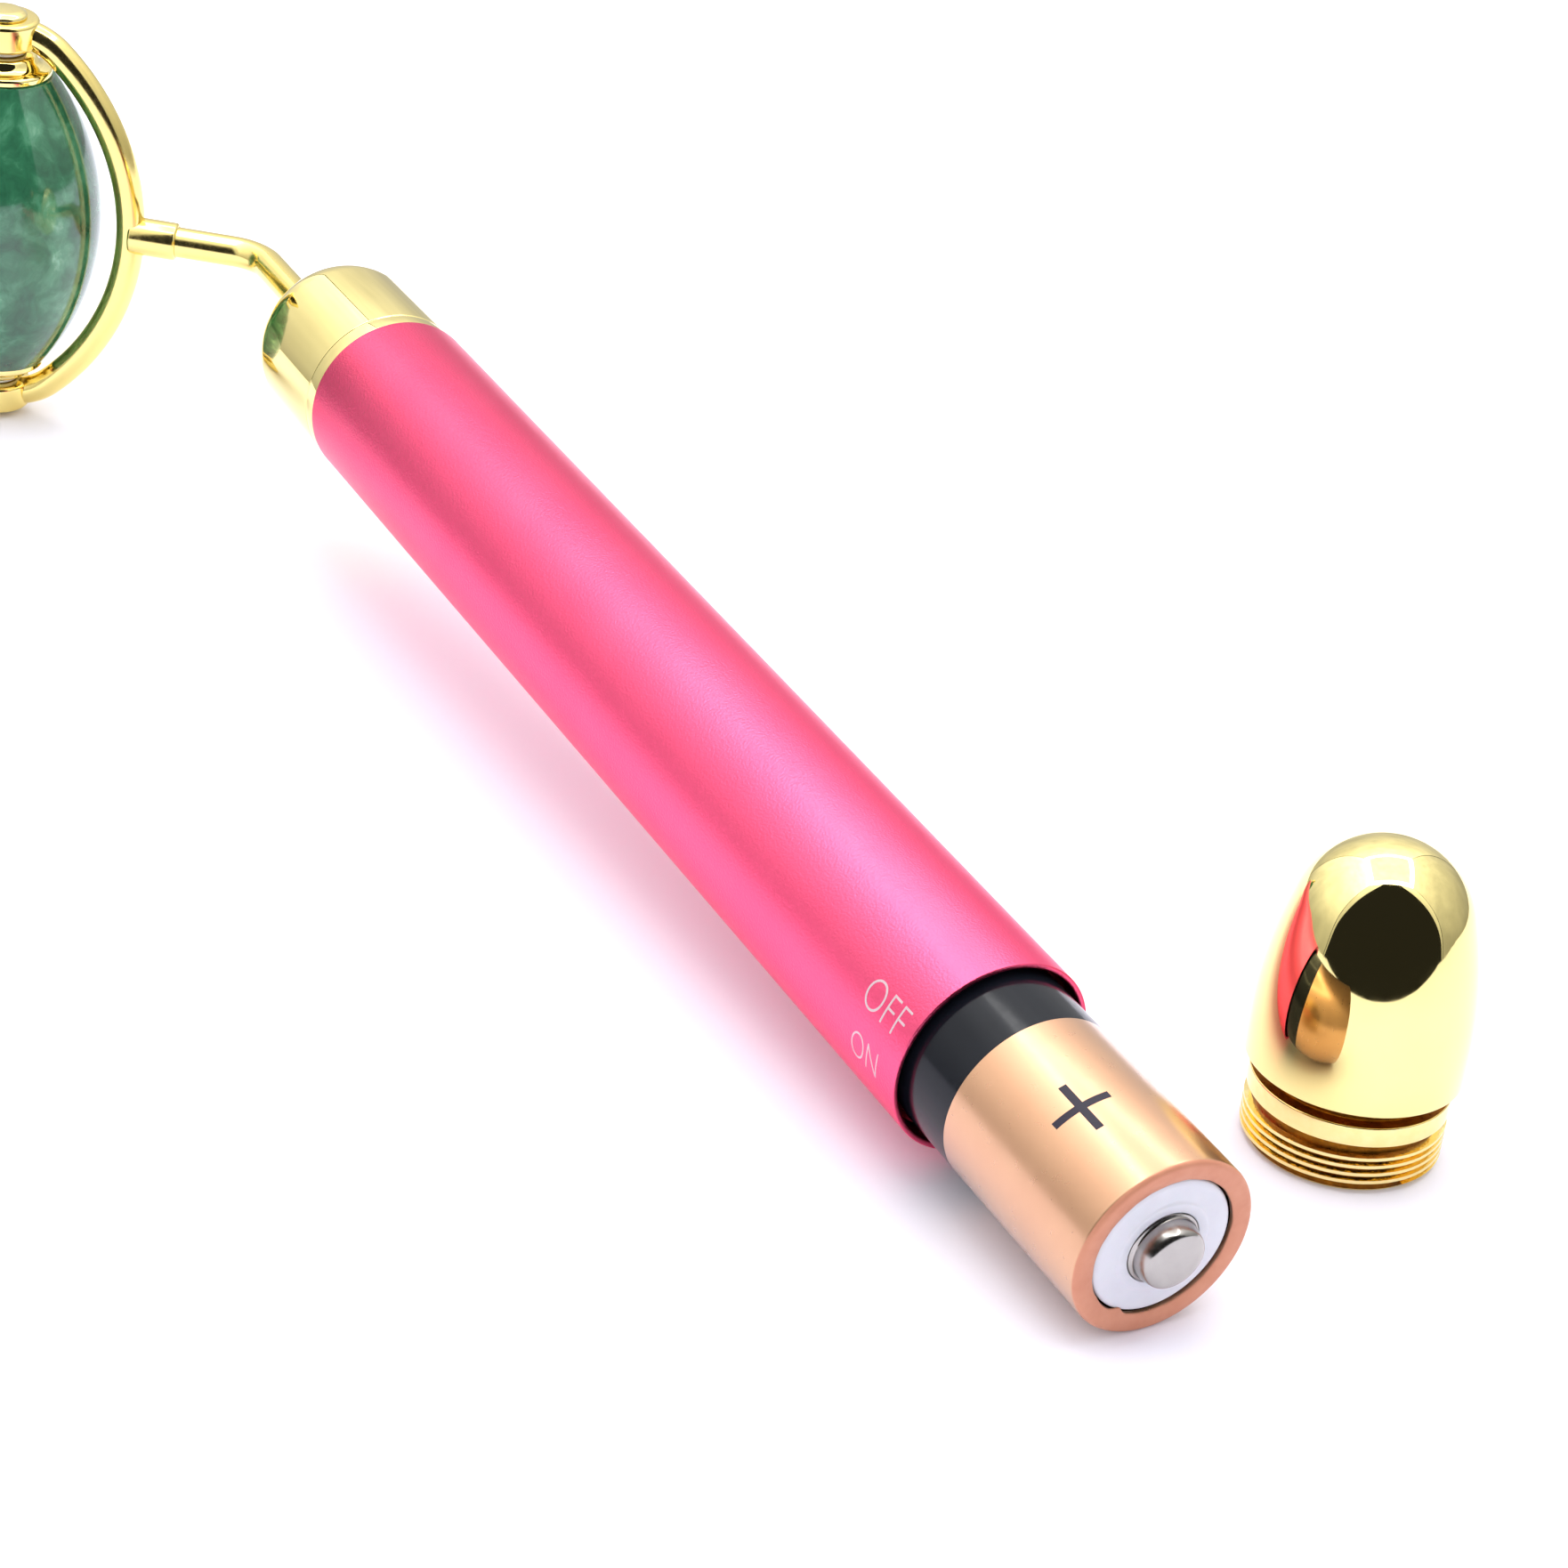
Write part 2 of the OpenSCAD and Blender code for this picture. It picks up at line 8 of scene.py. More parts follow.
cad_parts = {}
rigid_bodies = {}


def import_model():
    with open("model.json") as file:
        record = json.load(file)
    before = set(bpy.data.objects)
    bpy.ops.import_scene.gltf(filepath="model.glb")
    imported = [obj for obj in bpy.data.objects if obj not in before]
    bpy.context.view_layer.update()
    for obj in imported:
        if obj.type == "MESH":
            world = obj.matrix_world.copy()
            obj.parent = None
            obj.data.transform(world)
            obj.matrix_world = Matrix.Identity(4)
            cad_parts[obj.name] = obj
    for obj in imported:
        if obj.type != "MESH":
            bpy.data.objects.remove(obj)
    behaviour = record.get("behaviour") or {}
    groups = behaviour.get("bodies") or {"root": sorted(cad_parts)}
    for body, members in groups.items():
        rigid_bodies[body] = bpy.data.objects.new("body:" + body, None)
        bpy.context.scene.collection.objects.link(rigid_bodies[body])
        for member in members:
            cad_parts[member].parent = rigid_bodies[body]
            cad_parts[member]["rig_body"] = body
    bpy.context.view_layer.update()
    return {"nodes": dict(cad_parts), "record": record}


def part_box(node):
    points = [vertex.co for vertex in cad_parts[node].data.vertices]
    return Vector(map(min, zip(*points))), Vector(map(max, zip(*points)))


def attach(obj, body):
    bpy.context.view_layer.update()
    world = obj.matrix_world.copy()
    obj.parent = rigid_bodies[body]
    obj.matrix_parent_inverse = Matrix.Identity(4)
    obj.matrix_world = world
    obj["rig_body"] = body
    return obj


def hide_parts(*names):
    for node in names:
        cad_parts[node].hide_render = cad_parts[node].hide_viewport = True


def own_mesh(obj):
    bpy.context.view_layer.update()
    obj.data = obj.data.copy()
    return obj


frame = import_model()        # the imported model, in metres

record = frame["record"]
mm = 0.001
turnSteps = 160          # faces round a turned piece
smallSteps = 96          # and round a small one
arcSteps = 24            # edges along an arc of an outline
roundSteps = 5           # edges along a rounded corner
rodSides = 40
wireSides = 10
coilSteps = 32           # pieces in one turn of a spring
threadSteps = 72         # pieces in one turn of a thread
snug = 0.02              # millimetres drawn between pieces that sit in one another
creaseAngle = 35         # an edge that turns by more degrees stays sharp


# Places. Every matrix is in millimetres and finishPiece turns it to metres.
gripAxis = next(m["axis"] for m in record["mounts"] if m["name"] == "handle_grip")
handleTilt = math.atan2(-gripAxis[2], gripAxis[0])
capLow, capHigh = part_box("cap_shell")
capPlace = ((capLow.x + capHigh.x) / 2 / mm, (capLow.y + capHigh.y) / 2 / mm)
floorHeight = capLow.z / mm


def spinZ(degrees):
    return Matrix.Rotation(math.radians(degrees), 4, "Z")


def tipY(degrees):
    return Matrix.Rotation(math.radians(degrees), 4, "Y")


def move(x, y, z):
    return Matrix.Translation((x, y, z))


lieDown = Matrix.Rotation(handleTilt, 4, "Y")
bend = {"reach": 136.8, "angle": 56.0, "radius": 5.0, "side": 12.9, "axle": 13.0}


def onTube(x):
    # a turned piece's height runs from x towards the head
    return lieDown @ move(-x, 0, 0) @ tipY(-90)


atBow = lieDown @ move(-bend["reach"], 0, 0) @ spinZ(180 + bend["angle"]) @ move(bend["side"], 0, 0)
atStone = atBow @ move(bend["axle"], 0, 0)
otherEnd = Matrix.Scale(-1, 4, Vector((0, 0, 1)))


def atCap(height):
    return move(capPlace[0], capPlace[1], floorHeight + height)


# Outlines, rods and coils
def drawOutline(bm, outline, closed):
    # a corner is (radius, height) or (radius, height, rounding)
    # an arc is ("arc", radius of its centre, height of its centre, degrees)
    first = last = None
    rounded = []
    for point in outline:
        if point[0] == "arc":
            spun = bmesh.ops.spin(bm, geom=[last], cent=(point[1], 0, point[2]), axis=(0, -1, 0),
                                  angle=math.radians(point[3]), steps=arcSteps)
            last = [g for g in spun["geom_last"] if isinstance(g, bmesh.types.BMVert)][0]
            continue
        vert = bm.verts.new((point[0], 0, point[1]))
        if last:
            bm.edges.new((last, vert))
        first = first or vert
        last = vert
        if len(point) > 2:
            rounded.append((vert, point[2]))
    if closed:
        bm.edges.new((last, first))
    for vert, rounding in rounded:
        bmesh.ops.bevel(bm, geom=[vert], offset=rounding, offset_type="OFFSET", affect="VERTICES",
                        segments=roundSteps, profile=0.5, material=-1)


def turn(bm, outline, closed=False, steps=turnSteps):
    # turns an outline once round the height axis, beside what the mesh already holds
    part = bmesh.new()
    drawOutline(part, outline, closed)
    bmesh.ops.spin(part, geom=part.verts[:] + part.edges[:], cent=(0, 0, 0), axis=(0, 0, 1),
                   angle=2 * math.pi, steps=steps, use_merge=True, use_duplicate=False)
    addPart(bm, part)


def addPart(bm, part, place=Matrix.Identity(4)):
    # closes and joins a part to the piece that it belongs to
    bmesh.ops.transform(part, matrix=place, verts=part.verts[:])
    bmesh.ops.remove_doubles(part, verts=part.verts[:], dist=1e-4)
    bmesh.ops.recalc_face_normals(part, faces=part.faces[:])
    scrap = bpy.data.meshes.new("scrap")
    part.to_mesh(scrap)
    part.free()
    bm.from_mesh(scrap)
    bpy.data.meshes.remove(scrap)


def sweepRod(bm, radius, moves, place):
    # a round rod from the origin towards +Z; a run is a length, a bend towards +X is (radius, degrees)
    part = bmesh.new()
    bmesh.ops.create_circle(part, cap_ends=True, radius=radius, segments=rodSides)
    ring = part.edges[:]
    here = Matrix.Identity(4)
    for step in moves:
        if isinstance(step, tuple):
            bendRadius, degrees = step
            spun = bmesh.ops.spin(part, geom=ring + list({v for e in ring for v in e.verts}),
                                  cent=here @ Vector((bendRadius, 0, 0)),
                                  axis=here.to_3x3() @ Vector((0, 1, 0)),
                                  angle=math.radians(degrees), steps=max(8, int(degrees / 2)))
            ring = [g for g in spun["geom_last"] if isinstance(g, bmesh.types.BMEdge)]
            here = here @ move(bendRadius, 0, 0) @ tipY(degrees) @ move(-bendRadius, 0, 0)
        else:
            grown = bmesh.ops.extrude_edge_only(part, edges=ring)["geom"]
            verts = [g for g in grown if isinstance(g, bmesh.types.BMVert)]
            ring = [g for g in grown if isinstance(g, bmesh.types.BMEdge)
                    and g.verts[0] in verts and g.verts[1] in verts]
            bmesh.ops.translate(part, vec=here.to_3x3() @ Vector((0, 0, step)), verts=verts)
            here = here @ move(0, 0, step)
    bmesh.ops.contextual_create(part, geom=ring)
    addPart(bm, part, place)


def windCoil(bm, lowRadius, highRadius, rise, turns, wire):
    # a spring that stands on the origin: each step grows the wire, lifts its end and turns it all
    part = bmesh.new()
    start = move(lowRadius, 0, wire / 2) @ Matrix.Rotation(math.pi / 2, 4, "X")
    bmesh.ops.create_circle(part, cap_ends=True, radius=wire / 2, segments=wireSides, matrix=start)
    ring = part.edges[:]
    steps = round(turns * coilSteps)
    for k in range(steps):
        grown = bmesh.ops.extrude_edge_only(part, edges=ring)["geom"]
        verts = [g for g in grown if isinstance(g, bmesh.types.BMVert)]
        ring = [g for g in grown if isinstance(g, bmesh.types.BMEdge)
                and g.verts[0] in verts and g.verts[1] in verts]
        turned = spinZ(360 / coilSteps * k)
        outward = turned @ Vector(((highRadius - lowRadius) / steps, 0, (rise - wire) / steps))
        bmesh.ops.translate(part, vec=outward, verts=verts)
        bmesh.ops.rotate(part, cent=(0, 0, 0), matrix=spinZ(360 / coilSteps), verts=verts)
    bmesh.ops.contextual_create(part, geom=ring)
    addPart(bm, part)


def windThread(bm, profile, start, pitch, turns, rootRadius):
    # sweeps a ridge up a helix and lets both of its ends sink into the root
    part = bmesh.new()
    verts = [part.verts.new((radius, 0, start + height)) for radius, height in profile]
    ridge = part.faces.new(verts)
    steps = round(turns * threadSteps)
    bmesh.ops.spin(part, geom=[ridge], cent=(0, 0, 0), axis=(0, 0, 1), dvec=(0, 0, pitch / threadSteps),
                   angle=2 * math.pi * turns, steps=steps)
    runOut, sunk = 0.12 * pitch, 0.9
    for vert in part.verts:
        along = (vert.co.z - start) / (pitch * turns)
        nearEnd = min(1, max(0, min(along, 1 - along)) * turns * pitch / runOut)
        flat = Vector((vert.co.x, vert.co.y, 0))
        inset = (flat.length - rootRadius) * (1 - nearEnd) * sunk
        vert.co -= flat.normalized() * inset
    addPart(bm, part)


# Materials
def toLinear(hexColour):
    parts = [int(hexColour[i:i + 2], 16) / 255 for i in (1, 3, 5)]
    return tuple(c / 12.92 if c <= 0.04045 else ((c + 0.055) / 1.055) ** 2.4 for c in parts) + (1,)


def addNode(tree, kind, inputs=None, **settings):
    # an input is a value, or another node's output that feeds it
    node = tree.nodes.new(kind)
    for name, value in settings.items():
        setattr(node, name, value)
    for name, value in (inputs or {}).items():
        if isinstance(value, bpy.types.NodeSocket):
            tree.links.new(value, node.inputs[name])
        else:
            node.inputs[name].default_value = value
    return node


def makeFinish(look):
    # the colour drifts with a slow cloud, the gloss with a finer grain, and the relief is (size, height) pairs
    # sizes and heights are in millimetres
    material = bpy.data.materials.new(look["name"])
    material.use_nodes = True
    tree = material.node_tree
    shader = tree.nodes["Principled BSDF"]
    for socket, value in look["shader"].items():
        shader.inputs[socket].default_value = value
    coords = addNode(tree, "ShaderNodeTexCoord").outputs["Object"]
    sizes = sorted({look["cloud"], look["grain"], *[size for size, height in look["relief"]]})
    lumps = {size: addNode(tree, "ShaderNodeTexNoise", {"Vector": coords, "Scale": 1 / (size * mm), "Detail": 3.0})
             for size in sizes}
    colour = addNode(tree, "ShaderNodeMix", {0: lumps[look["cloud"]].outputs["Fac"],
                                             6: toLinear(look["colours"][0]),
                                             7: toLinear(look["colours"][1])}, data_type="RGBA")
    gloss = addNode(tree, "ShaderNodeMapRange", {"Value": lumps[look["grain"]].outputs["Fac"],
                                                 "From Min": 0.3, "From Max": 0.7,
                                                 "To Min": look["roughness"][0], "To Max": look["roughness"][1]})
    tree.links.new(colour.outputs[2], shader.inputs["Base Color"])
    tree.links.new(gloss.outputs["Result"], shader.inputs["Roughness"])
    bump = None
    for size, height in look["relief"]:
        inputs = {"Height": lumps[size].outputs["Fac"], "Distance": height * mm}
        if bump:
            inputs["Normal"] = bump.outputs["Normal"]
        bump = addNode(tree, "ShaderNodeBump", inputs)
        tree.links.new(bump.outputs["Normal"], shader.inputs["Normal"])
    return material


metal = {"Metallic": 1.0}
looks = {
    # blasted and anodised aluminium: a satin glow under a clear oxide skin, with a fine sandy grain
    "pink": {"name": "anodisedPinkAluminium", "colours": ("#FA5280", "#FF5C88"), "cloud": 7.0,
             "roughness": (0.3, 0.35), "grain": 0.3, "relief": [(0.2, 0.05)],
             "shader": {"Metallic": 1.0, "Specular Tint": toLinear("#FFB0C8"), "Coat Weight": 0.5,
                        "Coat Roughness": 0.3}},
    # bare aluminium that the laser laid open: pale, dull and slightly rough
    "etched": {"name": "laserEtchedAluminium", "colours": ("#CDB2B9", "#E0CBD0"), "cloud": 0.12,
               "roughness": (0.45, 0.6), "grain": 0.06, "relief": [(0.06, 0.004)], "shader": {"Metallic": 0.5}},
    # bright gold plating on polished brass: a mirror with a faint ripple
    "gold": {"name": "polishedGoldPlate", "colours": ("#F8E496", "#FBEAA2"), "cloud": 5.0,
             "roughness": (0.02, 0.05), "grain": 0.8, "relief": [(5.0, 0.006)], "shader": metal},
    # the same plating over die-cast rod: bright, but softer than on the turned pieces
    "goldRod": {"name": "goldPlatedCasting", "colours": ("#F5DD85", "#FBE798"), "cloud": 5.0,
                "roughness": (0.12, 0.2), "grain": 0.5, "relief": [(5.0, 0.01)], "shader": metal},
    # gold plating over a cut thread: tool marks round it take the mirror off
    "goldThread": {"name": "goldPlatedThread", "colours": ("#F5D88A", "#FDE9AA"), "cloud": 0.9,
                   "roughness": (0.03, 0.14), "grain": 0.2, "relief": [(0.2, 0.012), (0.9, 0.03)], "shader": metal},
    # the bottoms of the grooves: dark brown brass, painted shade for the shadow in the thread's root and in the groove
    # above the shoulder
    "groove": {"name": "grooveBrassPaintedShade", "colours": ("#4A2A0C", "#B0701F"), "cloud": 0.9,
               "roughness": (0.25, 0.45), "grain": 0.2, "relief": [(0.2, 0.02)], "shader": metal},
    # metallised heat-shrink film: a broad copper glow under a clear skin
    "copper": {"name": "copperSleeveFilm", "colours": ("#CC9872", "#D6A57E"), "cloud": 5.0,
               "roughness": (0.27, 0.33), "grain": 0.9, "relief": [],
               "shader": {"Metallic": 0.9, "Coat Weight": 1.0, "Coat Roughness": 0.2}},
    # the same film where it shrank over the rim: dull and slightly puckered
    "lip": {"name": "shrunkFilmLip", "colours": ("#C98468", "#D8987B"), "cloud": 1.5,
            "roughness": (0.42, 0.55), "grain": 0.5, "relief": [(0.5, 0.02)],
            "shader": {"Metallic": 0.3, "Specular IOR Level": 0.4}},
    # black printed film: deep blue-black with a sharp gloss
    "black": {"name": "blackSleeveFilm", "colours": ("#0C0E14", "#12151C"), "cloud": 3.0,
              "roughness": (0.12, 0.18), "grain": 0.6, "relief": [(3.0, 0.015)],
              "shader": {"Specular IOR Level": 0.22}},
    # dark ink printed on the film: a little duller than the film round it
    "ink": {"name": "printedInk", "colours": ("#26222E", "#332E3C"), "cloud": 0.1,
            "roughness": (0.3, 0.42), "grain": 0.08, "relief": [(0.08, 0.003)],
            "shader": {"Specular IOR Level": 0.2}},
    # pale moulded insulating disc: smooth, slightly waxy plastic
    "seal": {"name": "paleSealPlastic", "colours": ("#D3D3DD", "#DEDEE6"), "cloud": 1.4,
             "roughness": (0.3, 0.42), "grain": 0.6, "relief": [(1.4, 0.02)],
             "shader": {"Coat Weight": 0.3, "Coat Roughness": 0.15, "Subsurface Weight": 0.1,
                        "Subsurface Scale": 0.5 * mm}},
    # nickel-plated pressed steel: bright, with faint die marks
    "nickel": {"name": "nickelPlatedSteel", "colours": ("#A9A5A0", "#BBB7B2"), "cloud": 1.2,
               "roughness": (0.16, 0.26), "grain": 0.25, "relief": [(0.25, 0.004)], "shader": metal},
    # natural nylon: creamy, with a soft moulded skin
    "nylon": {"name": "naturalNylon", "colours": ("#E9E6DC", "#F5F3EC"), "cloud": 2.0,
              "roughness": (0.38, 0.5), "grain": 0.4, "relief": [(0.4, 0.01)],
              "shader": {"Subsurface Weight": 0.1, "Subsurface Scale": 0.5 * mm}},
    # black moulded ABS: dark and evenly dull
    "abs": {"name": "mouldedBlackAbs", "colours": ("#1E2023", "#2A2C30"), "cloud": 2.0,
            "roughness": (0.42, 0.55), "grain": 0.3, "relief": [(0.3, 0.01)], "shader": {}},
    # stamped contact brass: yellow metal with rolling marks
    "brass": {"name": "stampedBrass", "colours": ("#CFA650", "#E2BC68"), "cloud": 1.0,
              "roughness": (0.2, 0.34), "grain": 0.2, "relief": [(0.2, 0.006)], "shader": metal},
    # drawn spring wire: grey metal with die lines
    "springWire": {"name": "drawnSpringWire", "colours": ("#B4B7BC", "#CDD0D4"), "cloud": 1.0,
                   "roughness": (0.16, 0.28), "grain": 0.15, "relief": [(0.15, 0.004)], "shader": metal},
    # ground steel: cool grey with a fine lay
    "steel": {"name": "groundSteel", "colours": ("#A9ADB3", "#C3C6CB"), "cloud": 1.5,
              "roughness": (0.22, 0.36), "grain": 0.2, "relief": [(0.2, 0.005)], "shader": metal},
    # red PVC insulation: soft and slightly waxy
    "pvc": {"name": "redPvcInsulation", "colours": ("#B92A24", "#D23A33"), "cloud": 1.0,
            "roughness": (0.4, 0.5), "grain": 0.3, "relief": [(0.3, 0.01)], "shader": {}},
    # polished dyed jade: clouded green under a wet shine; its veins are added below
    "jade": {"name": "polishedJade", "colours": ("#1C4C36", "#2F6B4A"), "cloud": 5.0,
             "roughness": (0.07, 0.13), "grain": 2.0, "relief": [(2.0, 0.004)],
             "shader": {"IOR": 1.62, "Coat Weight": 0.3, "Coat Roughness": 0.05, "Subsurface Weight": 0.2,
                        "Subsurface Scale": 1.2 * mm, "Subsurface Radius": (0.4, 1.0, 0.6)}},
}
veins = {"bend": 7.0, "reach": 9.0, "size": 5.0,
         "colours": ((0.3, "#173F2D"), (0.5, "#2F6A4B"), (0.62, "#4E8A69"), (0.72, "#86B79C"))}


def addVeins(material):
    # noise that bends the coordinates folds the clouds into veins
    tree = material.node_tree
    coords = addNode(tree, "ShaderNodeTexCoord").outputs["Object"]
    bend = addNode(tree, "ShaderNodeTexNoise", {"Vector": coords, "Scale": 1 / (veins["bend"] * mm), "Detail": 3.0})
    reach = addNode(tree, "ShaderNodeVectorMath", {0: bend.outputs["Color"], "Scale": veins["reach"] * mm},
                    operation="SCALE")
    folded = addNode(tree, "ShaderNodeVectorMath", {0: coords, 1: reach.outputs[0]}, operation="ADD")
    cloud = addNode(tree, "ShaderNodeTexNoise", {"Vector": folded.outputs[0], "Scale": 1 / (veins["size"] * mm),
                                                 "Detail": 6.0, "Roughness": 0.6})
    ramp = addNode(tree, "ShaderNodeValToRGB", {"Fac": cloud.outputs["Fac"]})
    stops = ramp.color_ramp.elements
    while len(stops) < len(veins["colours"]):
        stops.new(0.5)
    for stop, (position, colour) in zip(stops, veins["colours"]):
        stop.position = position
        stop.color = toLinear(colour)
    tree.links.new(ramp.outputs["Color"], tree.nodes["Principled BSDF"].inputs["Base Color"])


finishes = {key: makeFinish(look) for key, look in looks.items()}
addVeins(finishes["jade"])
print("finishes made:", len(finishes))


def finishPiece(name, bm, place, finish, node, replace=True):
    # finish lists the finishes that its faces' material numbers stand for
    bmesh.ops.transform(bm, matrix=Matrix.Scale(mm, 4) @ place, verts=bm.verts[:])
    mesh = bpy.data.meshes.new(name)
    bm.to_mesh(mesh)
    bm.free()
    for key in finish:
        mesh.materials.append(finishes[key])
    mesh.shade_smooth()
    mesh.set_sharp_from_angle(angle=math.radians(creaseAngle))
    piece = bpy.data.objects.new(name, mesh)
    bpy.context.scene.collection.objects.link(piece)
    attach(piece, frame["nodes"][node]["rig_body"])
    if replace:
        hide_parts(node)
    return piece


def pressSpring(spring):
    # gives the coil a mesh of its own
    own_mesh(spring)


def paint(bm, number, test):
    # gives the faces whose centre passes the test another of the piece's finishes
    for face in bm.faces:
        centre = face.calc_center_median()
        if test(math.hypot(centre.x, centre.y), centre.z):
            face.material_index = number


# The pink tube, with the mouth towards -Z of its own frame
tube = {"length": 104.5, "radius": 8.0, "bore": 7.2, "threadMajor": 7.55, "plain": 1.9, "threadEnd": 6.5,
        "threadTurns": 6, "pitch": 0.65, "ridgeFoot": 0.3, "ridgeTop": 0.06, "runIn": 0.35, "rim": 0.12,
        "mouthRim": 0.2}


def makeTube():
    bm = bmesh.new()
    t = tube
    turn(bm, [(t["radius"], 0, t["rim"]), (t["radius"], t["length"], t["rim"]), (t["bore"], t["length"], t["rim"]),
              (t["bore"], t["threadEnd"]), (t["threadMajor"], t["threadEnd"] - t["runIn"]),
              (t["threadMajor"], 0, t["mouthRim"])], closed=True)
    inWall = t["threadMajor"] + 0.1
    top = t["bore"] + snug
    windThread(bm, [(inWall, -t["ridgeFoot"]), (top, -t["ridgeTop"]), (top, t["ridgeTop"]), (inWall, t["ridgeFoot"])],
               t["plain"] + t["runIn"], t["pitch"], t["threadTurns"], t["threadMajor"])
    finishPiece("pink_tube", bm, onTube(0), ["pink"], "handle_tube")


makeTube()


# The etched words beside the mouth. Their tops face the top of the tube and they read towards the mouth.
words = [
    {"text": "OFF", "x": -3.67, "arc": -8.86, "height": 2.4, "width": 4.9},
    {"text": "ON", "x": -4.15, "arc": -13.1, "height": 2.12, "width": 3.5},
]
etching = {"proud": 0.012, "sunk": 0.03, "slice": 0.25, "thin": -0.02}


def makeWord(word):
    curve = bpy.data.curves.new("word", "FONT")
    curve.body = word["text"]
    curve.extrude = 0.1      # any thickness does, because the faces are moved below
    curve.offset = etching["thin"]
    maker = bpy.data.objects.new("word", curve)
    bpy.context.scene.collection.objects.link(maker)
    bpy.context.view_layer.update()
    flat = bpy.data.meshes.new_from_object(maker)
    bpy.data.objects.remove(maker)
    bm = bmesh.new()
    bm.from_mesh(flat)
    bpy.data.meshes.remove(flat)
    bmesh.ops.remove_doubles(bm, verts=bm.verts[:], dist=1e-5)
    # stretched to size, then sliced so that it can bend round the tube
    lowX, highX = min(v.co.x for v in bm.verts), max(v.co.x for v in bm.verts)
    lowY, highY = min(v.co.y for v in bm.verts), max(v.co.y for v in bm.verts)
    for vert in bm.verts:
        vert.co.x = ((vert.co.x - lowX) / (highX - lowX) - 0.5) * word["width"]
        vert.co.y = ((vert.co.y - lowY) / (highY - lowY) - 0.5) * word["height"]
        vert.co.z = etching["proud"] if vert.co.z > 0 else -etching["sunk"]
    cuts = int(word["height"] / etching["slice"])
    for k in range(-cuts // 2, cuts // 2 + 1):
        bmesh.ops.bisect_plane(bm, geom=bm.verts[:] + bm.edges[:] + bm.faces[:],
                               plane_co=(0, k * etching["slice"], 0), plane_no=(0, 1, 0))
    wrapOnTube(bm, tube["radius"], -word["x"], word["arc"])
    finishPiece("etched_" + word["text"].lower(), bm, onTube(0), ["etched"], "handle_tube", replace=False)


def wrapOnTube(bm, radius, x, arc):
    # lays a flat shape on a tube: its X runs towards the mouth and its Y round towards the top
    for vert in bm.verts:
        angle = (arc + vert.co.y) / radius
        height = radius + vert.co.z
        vert.co = (height * math.cos(angle), height * math.sin(angle), x - vert.co.x)


for word in words:
    makeWord(word)
print("tube and its words made")


# The gold collar, from the end of the tube
collar = {"radius": 7.9, "length": 15.9, "round": 4.2, "spigot": 5.0, "spigotRadius": 7.18, "lip": 1.6,
          "groove": 0.1, "counterbore": 3.5, "seat": 9.0, "rodHole": 1.52}


def makeCollar():
    bm = bmesh.new()
    c = collar
    flatRadius = c["radius"] - c["round"]
    turn(bm, [(0, 1), (c["counterbore"], 1), (c["counterbore"], -c["spigot"], 0.2),
              (c["spigotRadius"], -c["spigot"], 0.3), (c["spigotRadius"], 0), (c["radius"], 0, 0.12),
              (c["radius"], c["lip"] - c["groove"], 0.05), (c["radius"] - c["groove"], c["lip"], 0.05),
              (c["radius"], c["lip"] + c["groove"], 0.05), (c["radius"], c["length"] - c["round"]),
              ("arc", flatRadius, c["length"] - c["round"], 90), (c["rodHole"], c["length"], 0.12),
              (c["rodHole"], c["length"] - c["seat"]), (0, c["length"] - c["seat"])])
    finishPiece("gold_collar", bm, onTube(tube["length"]), ["gold"], "head_collar")


makeCollar()


# The bent neck, the bow and its eyes
neck = {"radius": 1.5, "seatEnd": 111.42, "short": 1.3}
bow = {"radius": 1.4, "curve": 23.5, "corner": 6.0, "half": 18.92, "eyeRadius": 3.4, "eyeIn": 17.52, "eyeOut": 20.32,
       "eyeRound": 0.45, "hole": 1.02, "holeRim": 0.12, "socketRadius": 1.85, "socketLength": 4.7, "socketFloor": 1.2}


def makeNeck():
    bm = bmesh.new()
    tangent = bend["radius"] * math.tan(math.radians(bend["angle"] / 2))
    start = lieDown @ move(-neck["seatEnd"], 0, 0) @ tipY(-90) @ spinZ(-90)
    sweepRod(bm, neck["radius"], [bend["reach"] - tangent - neck["seatEnd"], (bend["radius"], bend["angle"]),
                                  bend["side"] - tangent - neck["short"]], start)
    finishPiece("gold_neck", bm, Matrix.Identity(4), ["goldRod"], "neck_rod")


def makeBow():
    bm = bmesh.new()
    b = bow
    turned = math.degrees(math.asin((b["half"] - b["corner"]) / (b["curve"] - b["corner"])))
    depth = b["curve"] - (b["curve"] - b["corner"]) * math.cos(math.radians(turned))
    straight = bend["axle"] - depth
    start = move(bend["axle"], 0, -b["half"]) @ tipY(-90)
    sweepRod(bm, b["radius"], [straight, (b["corner"], 90 - turned), (b["curve"], 2 * turned),
                               (b["corner"], 90 - turned), straight], start)
    for side in (Matrix.Identity(4), otherEnd):
        eye = bmesh.new()
        turn(eye, [(b["hole"], b["eyeIn"], b["holeRim"]), (b["eyeRadius"], b["eyeIn"], b["eyeRound"]),
                   (b["eyeRadius"], b["eyeOut"], b["eyeRound"]), (b["hole"], b["eyeOut"], b["holeRim"])],
             closed=True, steps=80)
        addPart(bm, eye, move(bend["axle"], 0, 0) @ side)
    socket = bmesh.new()
    bore = neck["radius"] + snug
    turn(socket, [(0, 0), (b["socketRadius"], 0, 0.3), (b["socketRadius"], b["socketLength"], 0.35),
                  (bore, b["socketLength"], 0.1), (bore, b["socketFloor"]), (0, b["socketFloor"])], steps=80)
    addPart(bm, socket, tipY(-90))
    finishPiece("gold_bow", bm, atBow, ["goldRod"], "roller_yoke")


makeNeck()
makeBow()
print("collar, neck and bow made")


